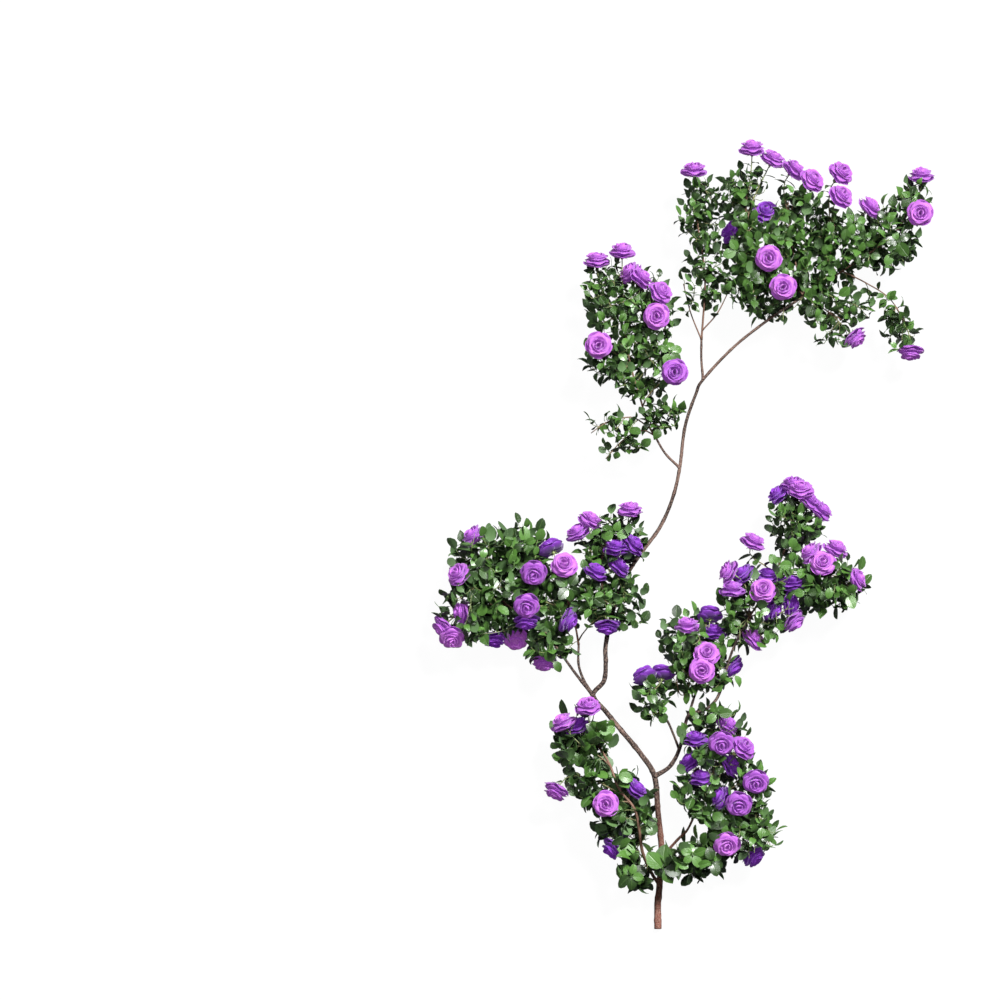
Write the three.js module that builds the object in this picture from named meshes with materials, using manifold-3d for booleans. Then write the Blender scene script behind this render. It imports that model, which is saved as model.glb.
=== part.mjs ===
// A climbing rose, cut through at the foot and laid on its back on a level surface.
// X is across the plant, Y runs from the cut foot to the tips, and Z is up from the surface.
// It is grown as the real one is: woody canes, a leafy spray on the end of each cane, and double
// blooms on the tips of thin shoots. Blooms that grow close together are one truss and one mesh: they
// press into each other, or short stalks that fork behind them hold them.

import * as THREE from "three";
import { mergeVertices } from "three/addons/utils/BufferGeometryUtils.js";
import Module from "manifold-3d";

const wasm = await Module();
wasm.setup();

// Driving dimensions, in millimetres. The plan that follows them is in centimetres from the cut foot.
const CM = 10;
const FOOT_RADIUS = 11;
const MAIN_TIP_RADIUS = 3.5;
const CANE_SIDES = 6;
const CANE_STEP = 75;
const STEM_RADIUS = 3;
const STEM_TIP_RADIUS = 1.9;
const STEM_SIDES = 3;
const STEM_STEP = 70;
const STEM_LEAD = 20;
const SIDE_STEM_EXTRA = 0.4;
const SHOOT_RADIUS = 1.8;
const SHOOT_TIP_RADIUS = 1.4;
const SHOOT_SIDES = 3;
const SHOOT_STEPS = 2;
const MOST_SHOOT_STEPS = 5;
const SHARPEST_TURN = 0.5;
const LONG_SHOOT = 120;
const GAP = 0.3;
const LEAST_GAP = 0.25;
const CORNER_GRID = 0.001;
const NUDGE = 0.01;
const MOST_NUDGES = 12;

const BLOOM_DEPTH = 44;
const TRUSS_DEPTH = 30;
const TRUSS_FOOT = 5;
const STALK_SUNK = 3;
const PETALS = 5;
const FRONTAL = 0.95;
const FRONT_LEAN = 0.28;
const LEAST_LEAF_VOLUME = 250;
const LEAF_LENGTH = 36;
const LEAF_WIDTH = 28;
const LEAF_THICKNESS = 2.2;
const LEAF_FOLD = 0.3;
const LEAF_ARCH = 0.28;
const LEAF_LEAN = 1.05;
const LEAF_SUNK = 1;
const LEAF_SIZES = [0.9, 1.15];
const LEAF_SWAY = 0.4;
const LEAF_TRIES = 9;
const LEAFY_SHARE = 0.8;
const LEAF_SPACING = 15;
const BARE_NECK = 24;
const FORK_SPACING = 8;
const FORK_BACK = 0.35;
const FORK_MARGIN = 6;
const FORKS_APART = 5;
const LYING_HEIGHT = 1.2;
const GOLDEN_ANGLE = Math.PI * (3 - Math.sqrt(5));

// The centre line of the foot lies as high as the flat of its six-sided section.
const FOOT_Z = (FOOT_RADIUS * Math.cos(Math.PI / CANE_SIDES)) / CM;

// The middle of the plant's box in the plan. The origin is on the surface under it.
const MIDDLE = [6.97, 109.6];

// Woody canes: points of the centre line, and the radius at its two ends.
const CANES = [
  {
    points: [
      [0, 0, FOOT_Z], [0, 3, FOOT_Z], [0, 7, FOOT_Z], [0.5, 12.5, 2.6], [1, 22, 5], [0, 32.5, 7.5],
      [-1, 42.5, 9], [-5, 49, 9.5], [-10, 55, 10], [-14.5, 60.5, 10.5], [-18, 65, 11], [-15, 69, 11.5],
      [-14.5, 74, 11.5], [-14.5, 79, 11], [-12.5, 88.5, 10], [-9, 97.5, 9.5], [-5, 104, 9],
      [0.5, 111.5, 8.5], [4, 119.5, 8.5], [6, 128, 9], [7.5, 139.5, 9], [10.5, 148.5, 9],
      [12.5, 152.5, 9.5], [21, 161.5, 10.5], [30.5, 169, 11.5], [39.5, 175, 12],
    ],
    radii: [FOOT_RADIUS, MAIN_TIP_RADIUS],
  },
  { points: [[0.5, 12.5, 2.6], [-1, 14.3, 3.8], [-2.2, 16.5, 5.3]], radii: [5, 3] },
  { points: [[0.8, 17, 3.8], [4, 19, 5.5]], radii: [4, 3] },
  { points: [[1, 20, 4.5], [5.5, 25, 8], [8, 27.5, 9.5], [10, 31.5, 11]], radii: [5, 3] },
  { points: [[-18, 65, 11], [-22.5, 70.5, 11.5], [-26.5, 76, 12], [-31, 82, 12]], radii: [5.5, 3] },
  { points: [[-18, 65, 11], [-20.5, 69, 10.5], [-22, 73.5, 10], [-22, 79, 9.5]], radii: [5, 3] },
  { points: [[-12.7, 87, 10.2], [-14.5, 91, 12], [-15.5, 95, 13.5]], radii: [4, 3] },
  { points: [[6, 128, 9], [2, 132, 10], [-1, 137, 11]], radii: [4, 3] },
  { points: [[12.5, 152.5, 9.5], [12, 158, 10], [12, 163.5, 11]], radii: [4, 3] },
  {
    points: [[-1, 42.5, 9], [3, 45, 9.5], [5.5, 49, 10], [7, 54, 10.5], [8.5, 59.5, 11], [13, 61, 11],
      [16.5, 64.5, 11.5], [18.5, 71, 12], [21, 78.5, 12], [24.5, 85.5, 12.5]],
    radii: [7, 3],
  },
  { points: [[8.5, 59.5, 11], [10, 64.5, 12], [11.5, 68, 12.5]], radii: [4, 3] },
  { points: [[7, 54, 10.5], [3, 57.5, 11], [0, 61, 12]], radii: [4, 3] },
];

// Leafy sprays. The first stem carries on from the end of a cane, and the others leave an earlier stem.
// A clump is where leafy shoots end: its centre and its three radii.
// A bloom is its centre and the way it faces: U up the plant, D down, L left, R right, F front, B back,
// and a letter given twice counts double. Each list of blooms is one mesh.
const SPRAYS = [
  {
    name: "lower_left",
    stems: [
      [[-2.2, 16.5, 5.3], [-4.5, 21.5, 7.5], [-5.5, 28, 9.5], [-6.5, 33.5, 10.5], [-11, 39.5, 11.5],
        [-13.5, 46, 12], [-17.5, 52.5, 12]],
    ],
    clumps: [
      [-20.8, 52, 12, 7.5, 8.5, 9], [-18.8, 40, 12, 4, 5, 6], [-9, 32, 12, 8, 11, 9],
      [-3.5, 17.5, 9, 5.5, 7, 8],
    ],
    blooms: [
      [[-19.5, 62.5, 17.5, "UUF"], [-26.5, 58, 15, "UUL"], [-22.5, 57, 12, "LUU"]],
      [[-28.5, 38, 12, "DDL"]],
      [[-14.5, 35, 20, "F"]],
      [[-6, 39.5, 15, "UF"]],
      [[-13, 22, 10, "LD"]],
    ],
  },
  {
    name: "low_right",
    stems: [[[4, 19, 5.5], [7, 20.5, 7], [12, 22, 9.5], [17, 22, 11]]],
    clumps: [[9.4, 21, 9, 8, 7, 8]],
    blooms: [[[19, 23.5, 18, "FFD"]], [[27, 20, 9, "DR"]]],
  },
  {
    name: "lower_right",
    stems: [
      [[10, 31.5, 11], [13, 36, 10.5], [15, 41, 10], [16, 46, 9.5]],
      [[13, 36, 10.5], [18, 37, 10], [23, 34, 10]],
    ],
    clumps: [[15.8, 54, 12, 9, 8, 9], [17.7, 39, 12, 13, 10, 9], [24, 27, 12, 9, 7, 8]],
    blooms: [
      [
        [17.5, 51.5, 21, "FFD"], [24, 51, 19.5, "FUR"], [19.5, 57, 12, "UR"], [10.5, 53.3, 14, "UU"],
        [8.5, 47, 12, "UL"], [12, 42.5, 13, "UU"], [20.5, 46, 13, "RRU"],
      ],
      [[27, 40.8, 19.5, "FFD"], [22.3, 34.6, 20.5, "FFD"], [17, 37, 14, "LLU"]],
    ],
  },
  {
    name: "middle_tuft",
    stems: [[[0, 61, 12], [-2, 64.5, 12.5], [-2.5, 67.5, 13]]],
    clumps: [[-1.7, 65, 12, 5, 7, 7]],
    blooms: [[[-4, 71, 14, "UULB"], [1, 71.5, 11, "UUB"]]],
  },
  {
    name: "right_middle",
    stems: [[[11.5, 68, 12.5], [12, 72, 11.5], [12, 77, 10], [12.5, 82, 9.5]]],
    clumps: [[10.2, 80, 12, 10, 8, 9], [13, 67, 12, 9, 8, 9]],
    blooms: [
      [
        [13.5, 77, 19, "FFU"], [12, 72, 21, "FF"], [8.2, 84.8, 16, "UU"], [15.5, 83, 13, "UU"],
        [14.3, 88, 12, "UUB"],
      ],
      [[21, 72.5, 6, "DR"]],
    ],
  },
  {
    name: "right_upper",
    stems: [
      [[24.5, 85.5, 12.5], [28, 91, 11], [32, 98, 9.5], [35, 105, 9.5], [37, 111.5, 10], [37.5, 116, 10]],
      [[32, 98, 9.5], [39, 98.5, 9], [45, 98.5, 9.5], [50, 98, 10.5]],
    ],
    clumps: [
      [26, 88, 12, 9, 10, 9], [36.6, 94, 12, 8, 9, 9], [38, 113, 12, 7.5, 8, 9],
      [49, 96, 12, 8, 8, 9],
    ],
    blooms: [
      [
        [19, 99.5, 15, "LLU"], [23.5, 99, 12, "UL"], [20.6, 94.8, 16, "UU"], [29, 94.5, 20.5, "FFU"],
        [30.7, 98.6, 13, "UU"], [37, 96.4, 13, "UU"], [37.2, 90.2, 12, "RR"], [32.4, 88.5, 12, "RRD"],
        [38, 85, 14, "RD"],
      ],
      [[26.8, 81, 11, "RU"]],
      [[26.5, 108, 14, "UUR"]],
      [
        [33, 121, 12, "LU"], [37.5, 124, 13, "UU"], [39.5, 122.5, 16, "UUF"], [42, 119.5, 14, "UR"],
        [45.5, 116.5, 13, "UR"],
      ],
      [[42, 105, 15, "UL"], [45.5, 102, 18, "FFU"], [49.5, 106, 14, "UUR"]],
      [[55.5, 97.5, 14, "RRU"]],
    ],
  },
  {
    name: "centre_left",
    stems: [[[-31, 82, 12], [-37, 86.5, 12], [-43, 91, 12], [-48.5, 95, 12.5], [-51, 100.5, 13]]],
    clumps: [[-49.3, 102, 12, 8, 9, 9], [-52.5, 88, 12, 8, 8, 9], [-41, 91, 12, 8, 10, 9]],
    blooms: [
      [[-51.5, 109.5, 13, "LU"]],
      [[-55.5, 99, 17, "LFU"]],
      [[-55, 88, 12, "LL"], [-60, 83.5, 12, "LD"], [-57, 80.5, 14, "DF"]],
      [[-45.5, 80, 10, "D"], [-39.5, 80, 9, "DF"]],
      [[-31.5, 73.5, 9, "DD"]],
    ],
  },
  {
    name: "centre",
    stems: [[[-22, 79, 9.5], [-23, 84.5, 10.5], [-25, 91, 12], [-28, 97, 12.5], [-30, 101, 12.5]]],
    clumps: [[-38, 106, 12, 7, 7, 9], [-30, 91, 12, 9, 9, 9], [-31, 78.5, 12, 6, 5, 8]],
    blooms: [
      [[-30, 106.5, 14, "UULB"], [-26, 101.5, 20.5, "FFU"]],
      [[-34.5, 98.5, 22, "FFD"]],
      [[-36.5, 89.5, 21.5, "FFD"], [-36.5, 85, 17.5, "DD"]],
      [[-24.5, 85.5, 16.5, "RRD"]],
      [[-14.2, 83.5, 16.5, "D"]],
    ],
  },
  {
    name: "centre_right",
    stems: [
      [[-15.5, 95, 13.5], [-16, 99.5, 13], [-15.5, 104, 12.5], [-14.5, 109, 13]],
      [[-16, 97, 13.3], [-19, 93, 14], [-19.5, 88.5, 15]],
    ],
    clumps: [[-12.7, 107, 12, 9, 9, 9], [-15, 93, 13, 9, 8, 8], [-7.5, 90, 13, 5, 8, 6]],
    blooms: [
      [[-8, 117, 14, "UU"]],
      [[-18.5, 114, 13, "UUR"], [-22.5, 110.5, 13.5, "UUL"]],
      [[-6.5, 107, 15, "UR"], [-11.6, 106.3, 16.5, "UU"], [-10.5, 101, 14, "UR"], [-17, 99.6, 18, "UF"]],
    ],
  },
  {
    name: "tall_left",
    stems: [
      [[-1, 137, 11], [-3, 140.5, 11.5], [-5, 147.5, 12], [-7, 154, 12.5], [-8.5, 161, 13], [-9, 168, 13],
        [-9, 174, 13]],
      [[-4.3, 144, 11.8], [-9, 145, 12], [-14, 143.5, 12], [-18.5, 140.5, 12]],
    ],
    clumps: [
      [-12.7, 175, 12, 7.5, 10, 9], [-2.8, 171, 12, 7, 11, 9], [-5, 155, 12, 9, 8, 9],
      [-13, 140, 12, 6, 6, 7], [1, 142, 12, 4, 4, 6],
    ],
    blooms: [
      [[-17, 186, 13, "UU"]],
      [
        [-10, 188.5, 14, "UU"], [-8, 182.5, 12.5, "LU"], [-4.5, 181, 15, "UR"], [1, 177, 17, "UFR"],
        [-0.5, 170, 20, "FF"],
      ],
      [[-16.5, 162, 20, "FF"]],
      [[4.5, 154.5, 20, "FF"]],
    ],
  },
  {
    name: "crown_left",
    stems: [
      [[12, 163.5, 11], [12.5, 170, 11.5], [13, 178, 12], [12.5, 186, 12], [11, 195, 12.5], [10, 203, 13]],
    ],
    clumps: [[12.5, 198, 12, 6.5, 10, 9], [13, 181, 12, 7, 9, 9], [13, 168, 12, 6.5, 6, 8]],
    blooms: [[[10, 211, 13, "UU"]]],
  },
  {
    name: "crown",
    stems: [
      [[39.5, 175, 12], [45, 178.5, 12.5], [51, 182.5, 13], [57, 186.5, 13], [62, 190, 13],
        [67, 195, 13], [70, 201, 13]],
      [[41, 176, 12.1], [34, 181, 12], [28, 187, 12], [24.5, 195, 12.5], [24.5, 205, 13]],
      [[41, 176, 12.1], [38, 185, 13], [36.5, 194, 13], [36, 202, 13]],
      [[45, 178.5, 12.5], [47.5, 187, 13], [49, 196, 13]],
      [[51, 182.5, 13], [58, 179, 12], [64, 175, 12], [68.5, 168.5, 11.5]],
      [[41, 176, 12.1], [46, 172, 11], [51, 169, 11]],
    ],
    clumps: [
      [24, 203, 12, 6, 8, 9], [28.5, 191, 12, 9, 10, 10], [39.5, 195, 12, 9, 10, 10],
      [31, 175.5, 12, 8, 7, 9], [52, 190, 12, 9, 8, 10], [64, 192, 12, 8, 9, 9],
      [71, 203.5, 12, 4, 5, 6], [46.5, 173, 12, 8, 7, 9], [58, 173, 12, 5.5, 7, 8],
      [67, 166, 12, 5, 5, 7],
    ],
    blooms: [
      [[26, 217, 13, "UU"], [32, 214, 13, "UUR"], [38, 211, 14, "UR"], [43, 208, 17, "URF"]],
      [[51, 210, 16.5, "URF"], [51, 203.5, 18.5, "RUF"]],
      [[59, 200.5, 15, "UR"]],
      [[73, 209.5, 13, "UU"]],
      [[72.5, 198.5, 20, "FF"]],
      [[30.5, 186, 21, "FF"]],
      [[34.5, 178, 21.5, "FF"]],
      [[30, 199.5, 8, "UF"]],
      [[20, 194, 8, "UL"]],
      [[55, 163.5, 11, "DR"]],
      [[70, 159.5, 10, "DD"]],
    ],
  },
];

// Which leaves a bloom's shoot and a leafy shoot carry, counted from the tip, and the part of a clump's
// plan, in square centimetres, that has one leafy shoot.
const BLOOM_SHOOT_LEAVES = [1];
const LEAFY_SHOOT_LEAVES = [0, 1];
const SHOOT_AREA = 236;

const barkMaterial = new THREE.MeshStandardMaterial({ color: 0x7b5548, roughness: 0.8, metalness: 0 });
const leafMaterial = new THREE.MeshStandardMaterial({ color: 0x2f6424, roughness: 0.42, metalness: 0 });
const petalMaterial = new THREE.MeshStandardMaterial({ color: 0xa652d6, roughness: 0.55, metalness: 0 });

const LETTERS = {
  U: new THREE.Vector3(0, 1, 0),
  D: new THREE.Vector3(0, -1, 0),
  L: new THREE.Vector3(-1, 0, 0),
  R: new THREE.Vector3(1, 0, 0),
  F: new THREE.Vector3(0, 0, 1),
  B: new THREE.Vector3(0, 0, -1),
};

const inMillimetres = ([x, y, z]) => new THREE.Vector3(x - MIDDLE[0], y - MIDDLE[1], z).multiplyScalar(CM);

// The way that the letters give. What faces neither the front nor the back leans a little to the front.
function direction(letters) {
  const sum = new THREE.Vector3();
  for (const letter of letters) sum.add(LETTERS[letter]);
  sum.normalize();
  if (!/[FB]/.test(letters)) sum.addScaledVector(LETTERS.F, FRONT_LEAN);
  return sum.normalize();
}

// A number from 0 to 1 that looks random and is the same in each run.
function chance(seed) {
  const wave = Math.sin(seed * 12.9898) * 43758.5453;
  return wave - Math.floor(wave);
}

// A geometry's faces once its shared corners are merged, without those that have no area.
function facesOf(geometry) {
  const bare = new THREE.BufferGeometry();
  bare.setAttribute("position", geometry.attributes.position);
  bare.setIndex(geometry.index);
  const merged = mergeVertices(bare, CORNER_GRID);
  const corners = merged.index.array;
  const faces = [];
  for (let i = 0; i < corners.length; i += 3) {
    const [a, b, c] = corners.subarray(i, i + 3);
    if (a !== b && b !== c && c !== a) faces.push(a, b, c);
  }
  return { places: merged.attributes.position.array, faces };
}

// A closed geometry as a solid that can be joined.
function solid(geometry) {
  const { places, faces } = facesOf(geometry);
  return new wasm.Manifold(
    new wasm.Mesh({ numProp: 3, vertProperties: places, triVerts: new Uint32Array(faces) }),
  );
}

// Whether each edge belongs to two faces and no more.
function isClean(shape) {
  const { faces } = facesOf(geometryOf(shape));
  const uses = new Map();
  for (let i = 0; i < faces.length; i++) {
    const next = i % 3 === 2 ? i - 2 : i + 1;
    const edge = `${Math.min(faces[i], faces[next])} ${Math.max(faces[i], faces[next])}`;
    uses.set(edge, (uses.get(edge) ?? 0) + 1);
  }
  return [...uses.values()].every((count) => count === 2);
}

// A closed tube: a capped cylinder whose rings are moved onto the curve. Nothing sinks under the surface.
function tube(curve, sides, steps, startRadius, endRadius) {
  const frames = curve.computeFrenetFrames(steps, false);
  const shape = new THREE.CylinderGeometry(1, 1, 1, sides, steps);
  const place = shape.attributes.position;
  for (let i = 0; i < place.count; i++) {
    const share = place.getY(i) + 0.5;
    const ring = Math.round(share * steps);
    const radius = THREE.MathUtils.lerp(startRadius, endRadius, share);
    const point = curve.getPointAt(share);
    point.addScaledVector(frames.binormals[ring], place.getX(i) * radius);
    point.addScaledVector(frames.normals[ring], place.getZ(i) * radius);
    place.setXYZ(i, point.x, point.y, Math.max(point.z, 0));
  }
  return solid(shape);
}

// A tube is straight from ring to ring, so what grows on it starts from that line, not from the curve.
// share is a place on it from 0 to 1.
function onTube(curve, steps, share) {
  const ring = Math.min(Math.floor(share * steps), steps - 1);
  const from = curve.getPointAt(ring / steps);
  const to = curve.getPointAt((ring + 1) / steps);
  const tangent = to.clone().sub(from).normalize();
  return { point: from.lerp(to, share * steps - ring), tangent, ring };
}

function smoothCurve(points) {
  return new THREE.CatmullRomCurve3(points, false, "catmullrom", 0.5);
}

// Half a double rose from the side: bowl, rim of the outer petals, rim of the inner petals, bud.
// Each rim goes out to the tip of a petal and back in to the notch beside it. The inner petals stand
// over the notches of the outer ones.
const OUTER_RIM = { tip: [38, 11], notch: [25, 21] };
const INNER_RIM = { tip: [29, 38], notch: [20, 27] };
const BLOOM_PROFILE = [
  { even: [0, 0], odd: [0, 0] },
  { even: OUTER_RIM.tip, odd: OUTER_RIM.notch },
  { even: INNER_RIM.notch, odd: INNER_RIM.tip },
  { even: [0, BLOOM_DEPTH], odd: [0, BLOOM_DEPTH] },
];
// A bloom that faces the front also shows the dish round its bud.
const DISH = { even: [13, 32], odd: [15, 34] };

function bloomBase([x, y, z, letters]) {
  return inMillimetres([x, y, z]).addScaledVector(direction(letters), -BLOOM_DEPTH / 2);
}

function bloomSolid(bloom) {
  const [x, y, , letters] = bloom;
  const facing = direction(letters);
  const profile = [...BLOOM_PROFILE];
  if (facing.z > FRONTAL) profile.splice(profile.length - 1, 0, DISH);
  const shape = new THREE.LatheGeometry(profile.map(({ even }) => new THREE.Vector2(...even)), PETALS * 2);
  const place = shape.attributes.position;
  for (let i = 0; i < place.count; i++) {
    const ring = profile[i % profile.length];
    const step = Math.floor(i / profile.length);
    const [radius, height] = step % 2 === 0 ? ring.even : ring.odd;
    const angle = (step * Math.PI) / PETALS;
    place.setXYZ(i, radius * Math.sin(angle), height, radius * Math.cos(angle));
  }
  const turn = chance(x * 3.1 + y * 1.7) * Math.PI * 2;
  const toFacing = new THREE.Quaternion().setFromUnitVectors(LETTERS.U, facing);
  const base = bloomBase(bloom);
  shape.rotateY(turn);
  shape.applyQuaternion(toFacing);
  shape.translate(base.x, base.y, base.z);
  const made = solid(shape);
  if (made.boundingBox().min[2] < 0) throw new Error(`the bloom at ${bloom} reaches under the surface`);
  return made;
}

// The outline of a leaf, as shares of its length and of its half width: root, shoulder, belly, tip.
const LEAF_OUTLINE = [
  { reach: 0, side: 0 },
  { reach: 0.32, side: 0.62 },
  { reach: 0.7, side: 1 },
  { reach: 1, side: 0 },
];
const LEAF_MIDDLE = 0.34;

// A leaf: a six-cornered lens with a pointed tip, folded along its midrib and arched back.
// root is where it leaves the shoot, along is its length and upper is where its upper face looks.
function leafSolid(root, along, upper, scale) {
  const shape = new THREE.SphereGeometry(1, 2 * (LEAF_OUTLINE.length - 1), 2);
  const across = new THREE.Vector3().crossVectors(along, upper);
  const place = shape.attributes.position;
  for (let i = 0; i < place.count; i++) {
    const pole = Math.round(place.getY(i));
    const corner = Math.round((1 + place.getX(i)) * 1.5 + 0.01 * place.getX(i));
    const outline = pole === 0 ? LEAF_OUTLINE[corner] : { reach: LEAF_MIDDLE, side: 0 };
    const side = (Math.sign(Math.round(place.getZ(i) * 4)) * outline.side * LEAF_WIDTH) / 2;
    const fold = Math.abs(side) * LEAF_FOLD;
    const arch = outline.reach ** 2 * LEAF_LENGTH * LEAF_ARCH;
    const point = root.clone();
    point.addScaledVector(along, outline.reach * LEAF_LENGTH * scale);
    point.addScaledVector(across, side * scale);
    point.addScaledVector(upper, (fold - arch) * scale + (pole * LEAF_THICKNESS) / 2);
    const isTop = pole * upper.z > 0;
    place.setXYZ(i, point.x, point.y, Math.max(point.z, isTop ? LEAF_THICKNESS : 0));
  }
  return solid(shape);
}

// What is already in place, so that nothing new comes nearer to it than the gap.
const inPlace = [];

function remember(shape, owner) {
  const { min, max } = shape.boundingBox();
  inPlace.push({ shape, owner, box: new THREE.Box3(new THREE.Vector3(...min), new THREE.Vector3(...max)) });
}

function nearThan(shape, gap) {
  const { min, max } = shape.boundingBox();
  const box = new THREE.Box3(new THREE.Vector3(...min), new THREE.Vector3(...max)).expandByScalar(1);
  const close = inPlace.filter((other) => box.intersectsBox(other.box) && shape.minGap(other.shape, 1) < gap);
  return close.map((other) => other.owner);
}

const isClear = (shape) => nearThan(shape, LEAST_GAP).length === 0;

// The point of the stems that is nearest to a target.
function nearestOn(stems, target) {
  let best = null;
  for (const stem of stems) {
    const places = Math.ceil(stem.length / FORK_SPACING);
    for (let i = 0; i <= places; i++) {
      const { point } = onTube(stem.curve, stem.steps, i / places);
      const distance = point.distanceTo(target);
      if (best === null || distance < best.distance) best = { stem, share: i / places, point, distance };
    }
  }
  return best;
}

// Where a shoot leaves the stems: near its target, but moved back towards the foot so that it forks
// forwards, and away from the forks that the stem already has. The direction of the stem comes with it.
function forkOn(stems, target) {
  const { stem, share, distance } = nearestOn(stems, target);
  const { curve, steps, length, forks } = stem;
  const back = share * length - FORK_BACK * distance;
  let place = THREE.MathUtils.clamp(back, FORK_MARGIN, length - FORK_MARGIN);
  const away = place < length / 2 ? FORKS_APART : -FORKS_APART;
  while (forks.some((other) => Math.abs(other - place) < FORKS_APART - 1)) place += away;
  forks.push(place);
  return onTube(curve, steps, place / length);
}

// How a shoot leaves its stem and arrives at its tip, as shares of its reach, and the ways that it is
// bent to the side and up, in millimetres, until it clears what is in place.
const LEAVING = 0.35;
const ALONG_STEM = 0.8;
const ARRIVALS = [0.4, 0.25, 0.6];
const BENDS = [[0, 0], [0, -25], [0, 25], [25, 0], [-25, 0], [25, -25], [-25, -25], [25, 25], [-25, 25],
  [0, -50], [50, 0], [-50, 0], [0, 50], [50, -50], [-50, -50], [80, 0], [-80, 0], [0, -80]];

// Whether a tube's rings would fold over each other, because the curve turns too much from one to the next.
function isFolded(curve, steps) {
  for (let ring = 0; ring < steps; ring++) {
    const chord = curve.getPointAt((ring + 1) / steps).sub(curve.getPointAt(ring / steps)).normalize();
    const turns = [ring, ring + 1].map((end) => chord.dot(curve.getTangentAt(end / steps)));
    if (Math.min(...turns) < SHARPEST_TURN) return true;
  }
  return false;
}

// A thin shoot from the stem to its tip, where it points along facing, or null if nothing clears.
function growShoot(stems, tip, facing) {
  const { point: from, tangent } = forkOn(stems, tip);
  const reach = from.distanceTo(tip);
  const away = tip.clone().sub(from).normalize().addScaledVector(tangent, ALONG_STEM).normalize();
  for (const arrival of ARRIVALS) {
    for (const [sideways, upwards] of BENDS) {
      const leaving = from.clone().addScaledVector(away, reach * LEAVING);
      leaving.x += sideways;
      leaving.z += upwards;
      const arriving = tip.clone().addScaledVector(facing, -reach * arrival);
      arriving.z = Math.max(arriving.z, SHOOT_RADIUS * 2);
      const curve = new THREE.CubicBezierCurve3(from, leaving, arriving, tip);
      let steps = reach > LONG_SHOOT ? SHOOT_STEPS + 1 : SHOOT_STEPS;
      while (steps < MOST_SHOOT_STEPS && isFolded(curve, steps)) steps += 1;
      if (isFolded(curve, steps)) continue;
      const shape = tube(curve, SHOOT_SIDES, steps, SHOOT_RADIUS, SHOOT_TIP_RADIUS);
      if (isClear(shape)) return { curve, steps, shape };
    }
  }
  return null;
}

// The leaves of a shoot: each on the middle of a side of its stem, the next one on the next side,
// leaning away from it, with the upper face to the tip. The first leaf of a leafy shoot ends it.
function growLeaves({ curve, steps, shape, places, neck, seed }, shoots, leaves) {
  const length = curve.getLength();
  const frames = curve.computeFrenetFrames(steps, false);
  for (const place of places) {
    const isTerminal = neck === 0 && place === 0;
    const fromTip = isTerminal ? LEAF_SUNK : neck + place * LEAF_SPACING;
    if (fromTip > length * LEAFY_SHARE) continue;
    const { point, tangent, ring } = onTube(curve, steps, 1 - fromTip / length);
    const scale = THREE.MathUtils.lerp(...LEAF_SIZES, chance(seed + place * 7.7));
    for (let attempt = 0; attempt < LEAF_TRIES; attempt++) {
      const turn = ((place + seed + attempt + 0.5) * 2 * Math.PI) / SHOOT_SIDES;
      const outward = frames.binormals[ring].clone().multiplyScalar(Math.sin(turn));
      outward.addScaledVector(frames.normals[ring], Math.cos(turn));
      const sway = LEAF_SWAY * (chance(seed * 1.3 + place + attempt) - 0.5);
      const lean = (isTerminal ? 0 : LEAF_LEAN) + sway;
      const along = tangent.clone().multiplyScalar(Math.cos(lean)).addScaledVector(outward, Math.sin(lean));
      const facing = isTerminal ? outward : tangent;
      const upper = facing.clone().addScaledVector(along, -facing.dot(along)).normalize();
      const leaf = leafSolid(point, along.normalize(), upper, scale);
      if (leaf.volume() < LEAST_LEAF_VOLUME) continue;
      const meetsLeaf = leaves.some((other) => leaf.minGap(other, 1) < LEAST_GAP);
      const others = shoots.filter((other) => other.shape !== shape);
      const meetsShoot = others.some((other) => leaf.minGap(other.shape, 1) < LEAST_GAP);
      if (!meetsLeaf && !meetsShoot && isClear(leaf)) {
        leaves.push(leaf);
        break;
      }
    }
  }
}

// The tips of the leafy shoots of a clump: spread through it by the golden angle, and pointing out of
// it and up the plant. One of them hangs down, so that its leaves lie on the surface.
function clumpTips([x, y, z, acrossRadius, alongRadius, upRadius]) {
  const tips = [];
  const count = Math.ceil((Math.PI * acrossRadius * alongRadius) / SHOOT_AREA);
  for (let i = 0; i < count; i++) {
    const out = Math.sqrt((i + 0.8) / count);
    const turn = i * GOLDEN_ANGLE + x;
    const height = (2 * ((i * 0.7549 + 0.3) % 1) - 1) * Math.sqrt(1 - 0.8 * out * out);
    const outward = new THREE.Vector3(out * Math.cos(turn), out * Math.sin(turn), height);
    const tip = [x + outward.x * acrossRadius, y + outward.y * alongRadius, z + outward.z * upRadius];
    const isLying = i > 0 && i === count - 1;
    if (isLying) tip[2] = LYING_HEIGHT;
    const turned = isLying ? new THREE.Vector3(0, 0.3, -height - 0.6) : new THREE.Vector3(0, 0.6, 0.15);
    const facing = outward.clone().add(turned).normalize();
    tips.push({ tip: inMillimetres(tip), facing });
  }
  return tips;
}

function geometryOf(shape) {
  const { numProp, vertProperties, triVerts } = shape.getMesh();
  const corners = new Float32Array((vertProperties.length / numProp) * 3);
  for (let i = 0; i < corners.length / 3; i++)
    corners.set(vertProperties.subarray(i * numProp, i * numProp + 3), i * 3);
  const geometry = new THREE.BufferGeometry();
  geometry.setAttribute("position", new THREE.BufferAttribute(corners, 3));
  geometry.setIndex(new THREE.BufferAttribute(new Uint32Array(triVerts), 1));
  return geometry;
}

function mesh(name, shape, material) {
  const geometry = geometryOf(shape);
  geometry.computeVertexNormals();
  const made = new THREE.Mesh(geometry, material);
  made.name = name;
  return made;
}

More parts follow.
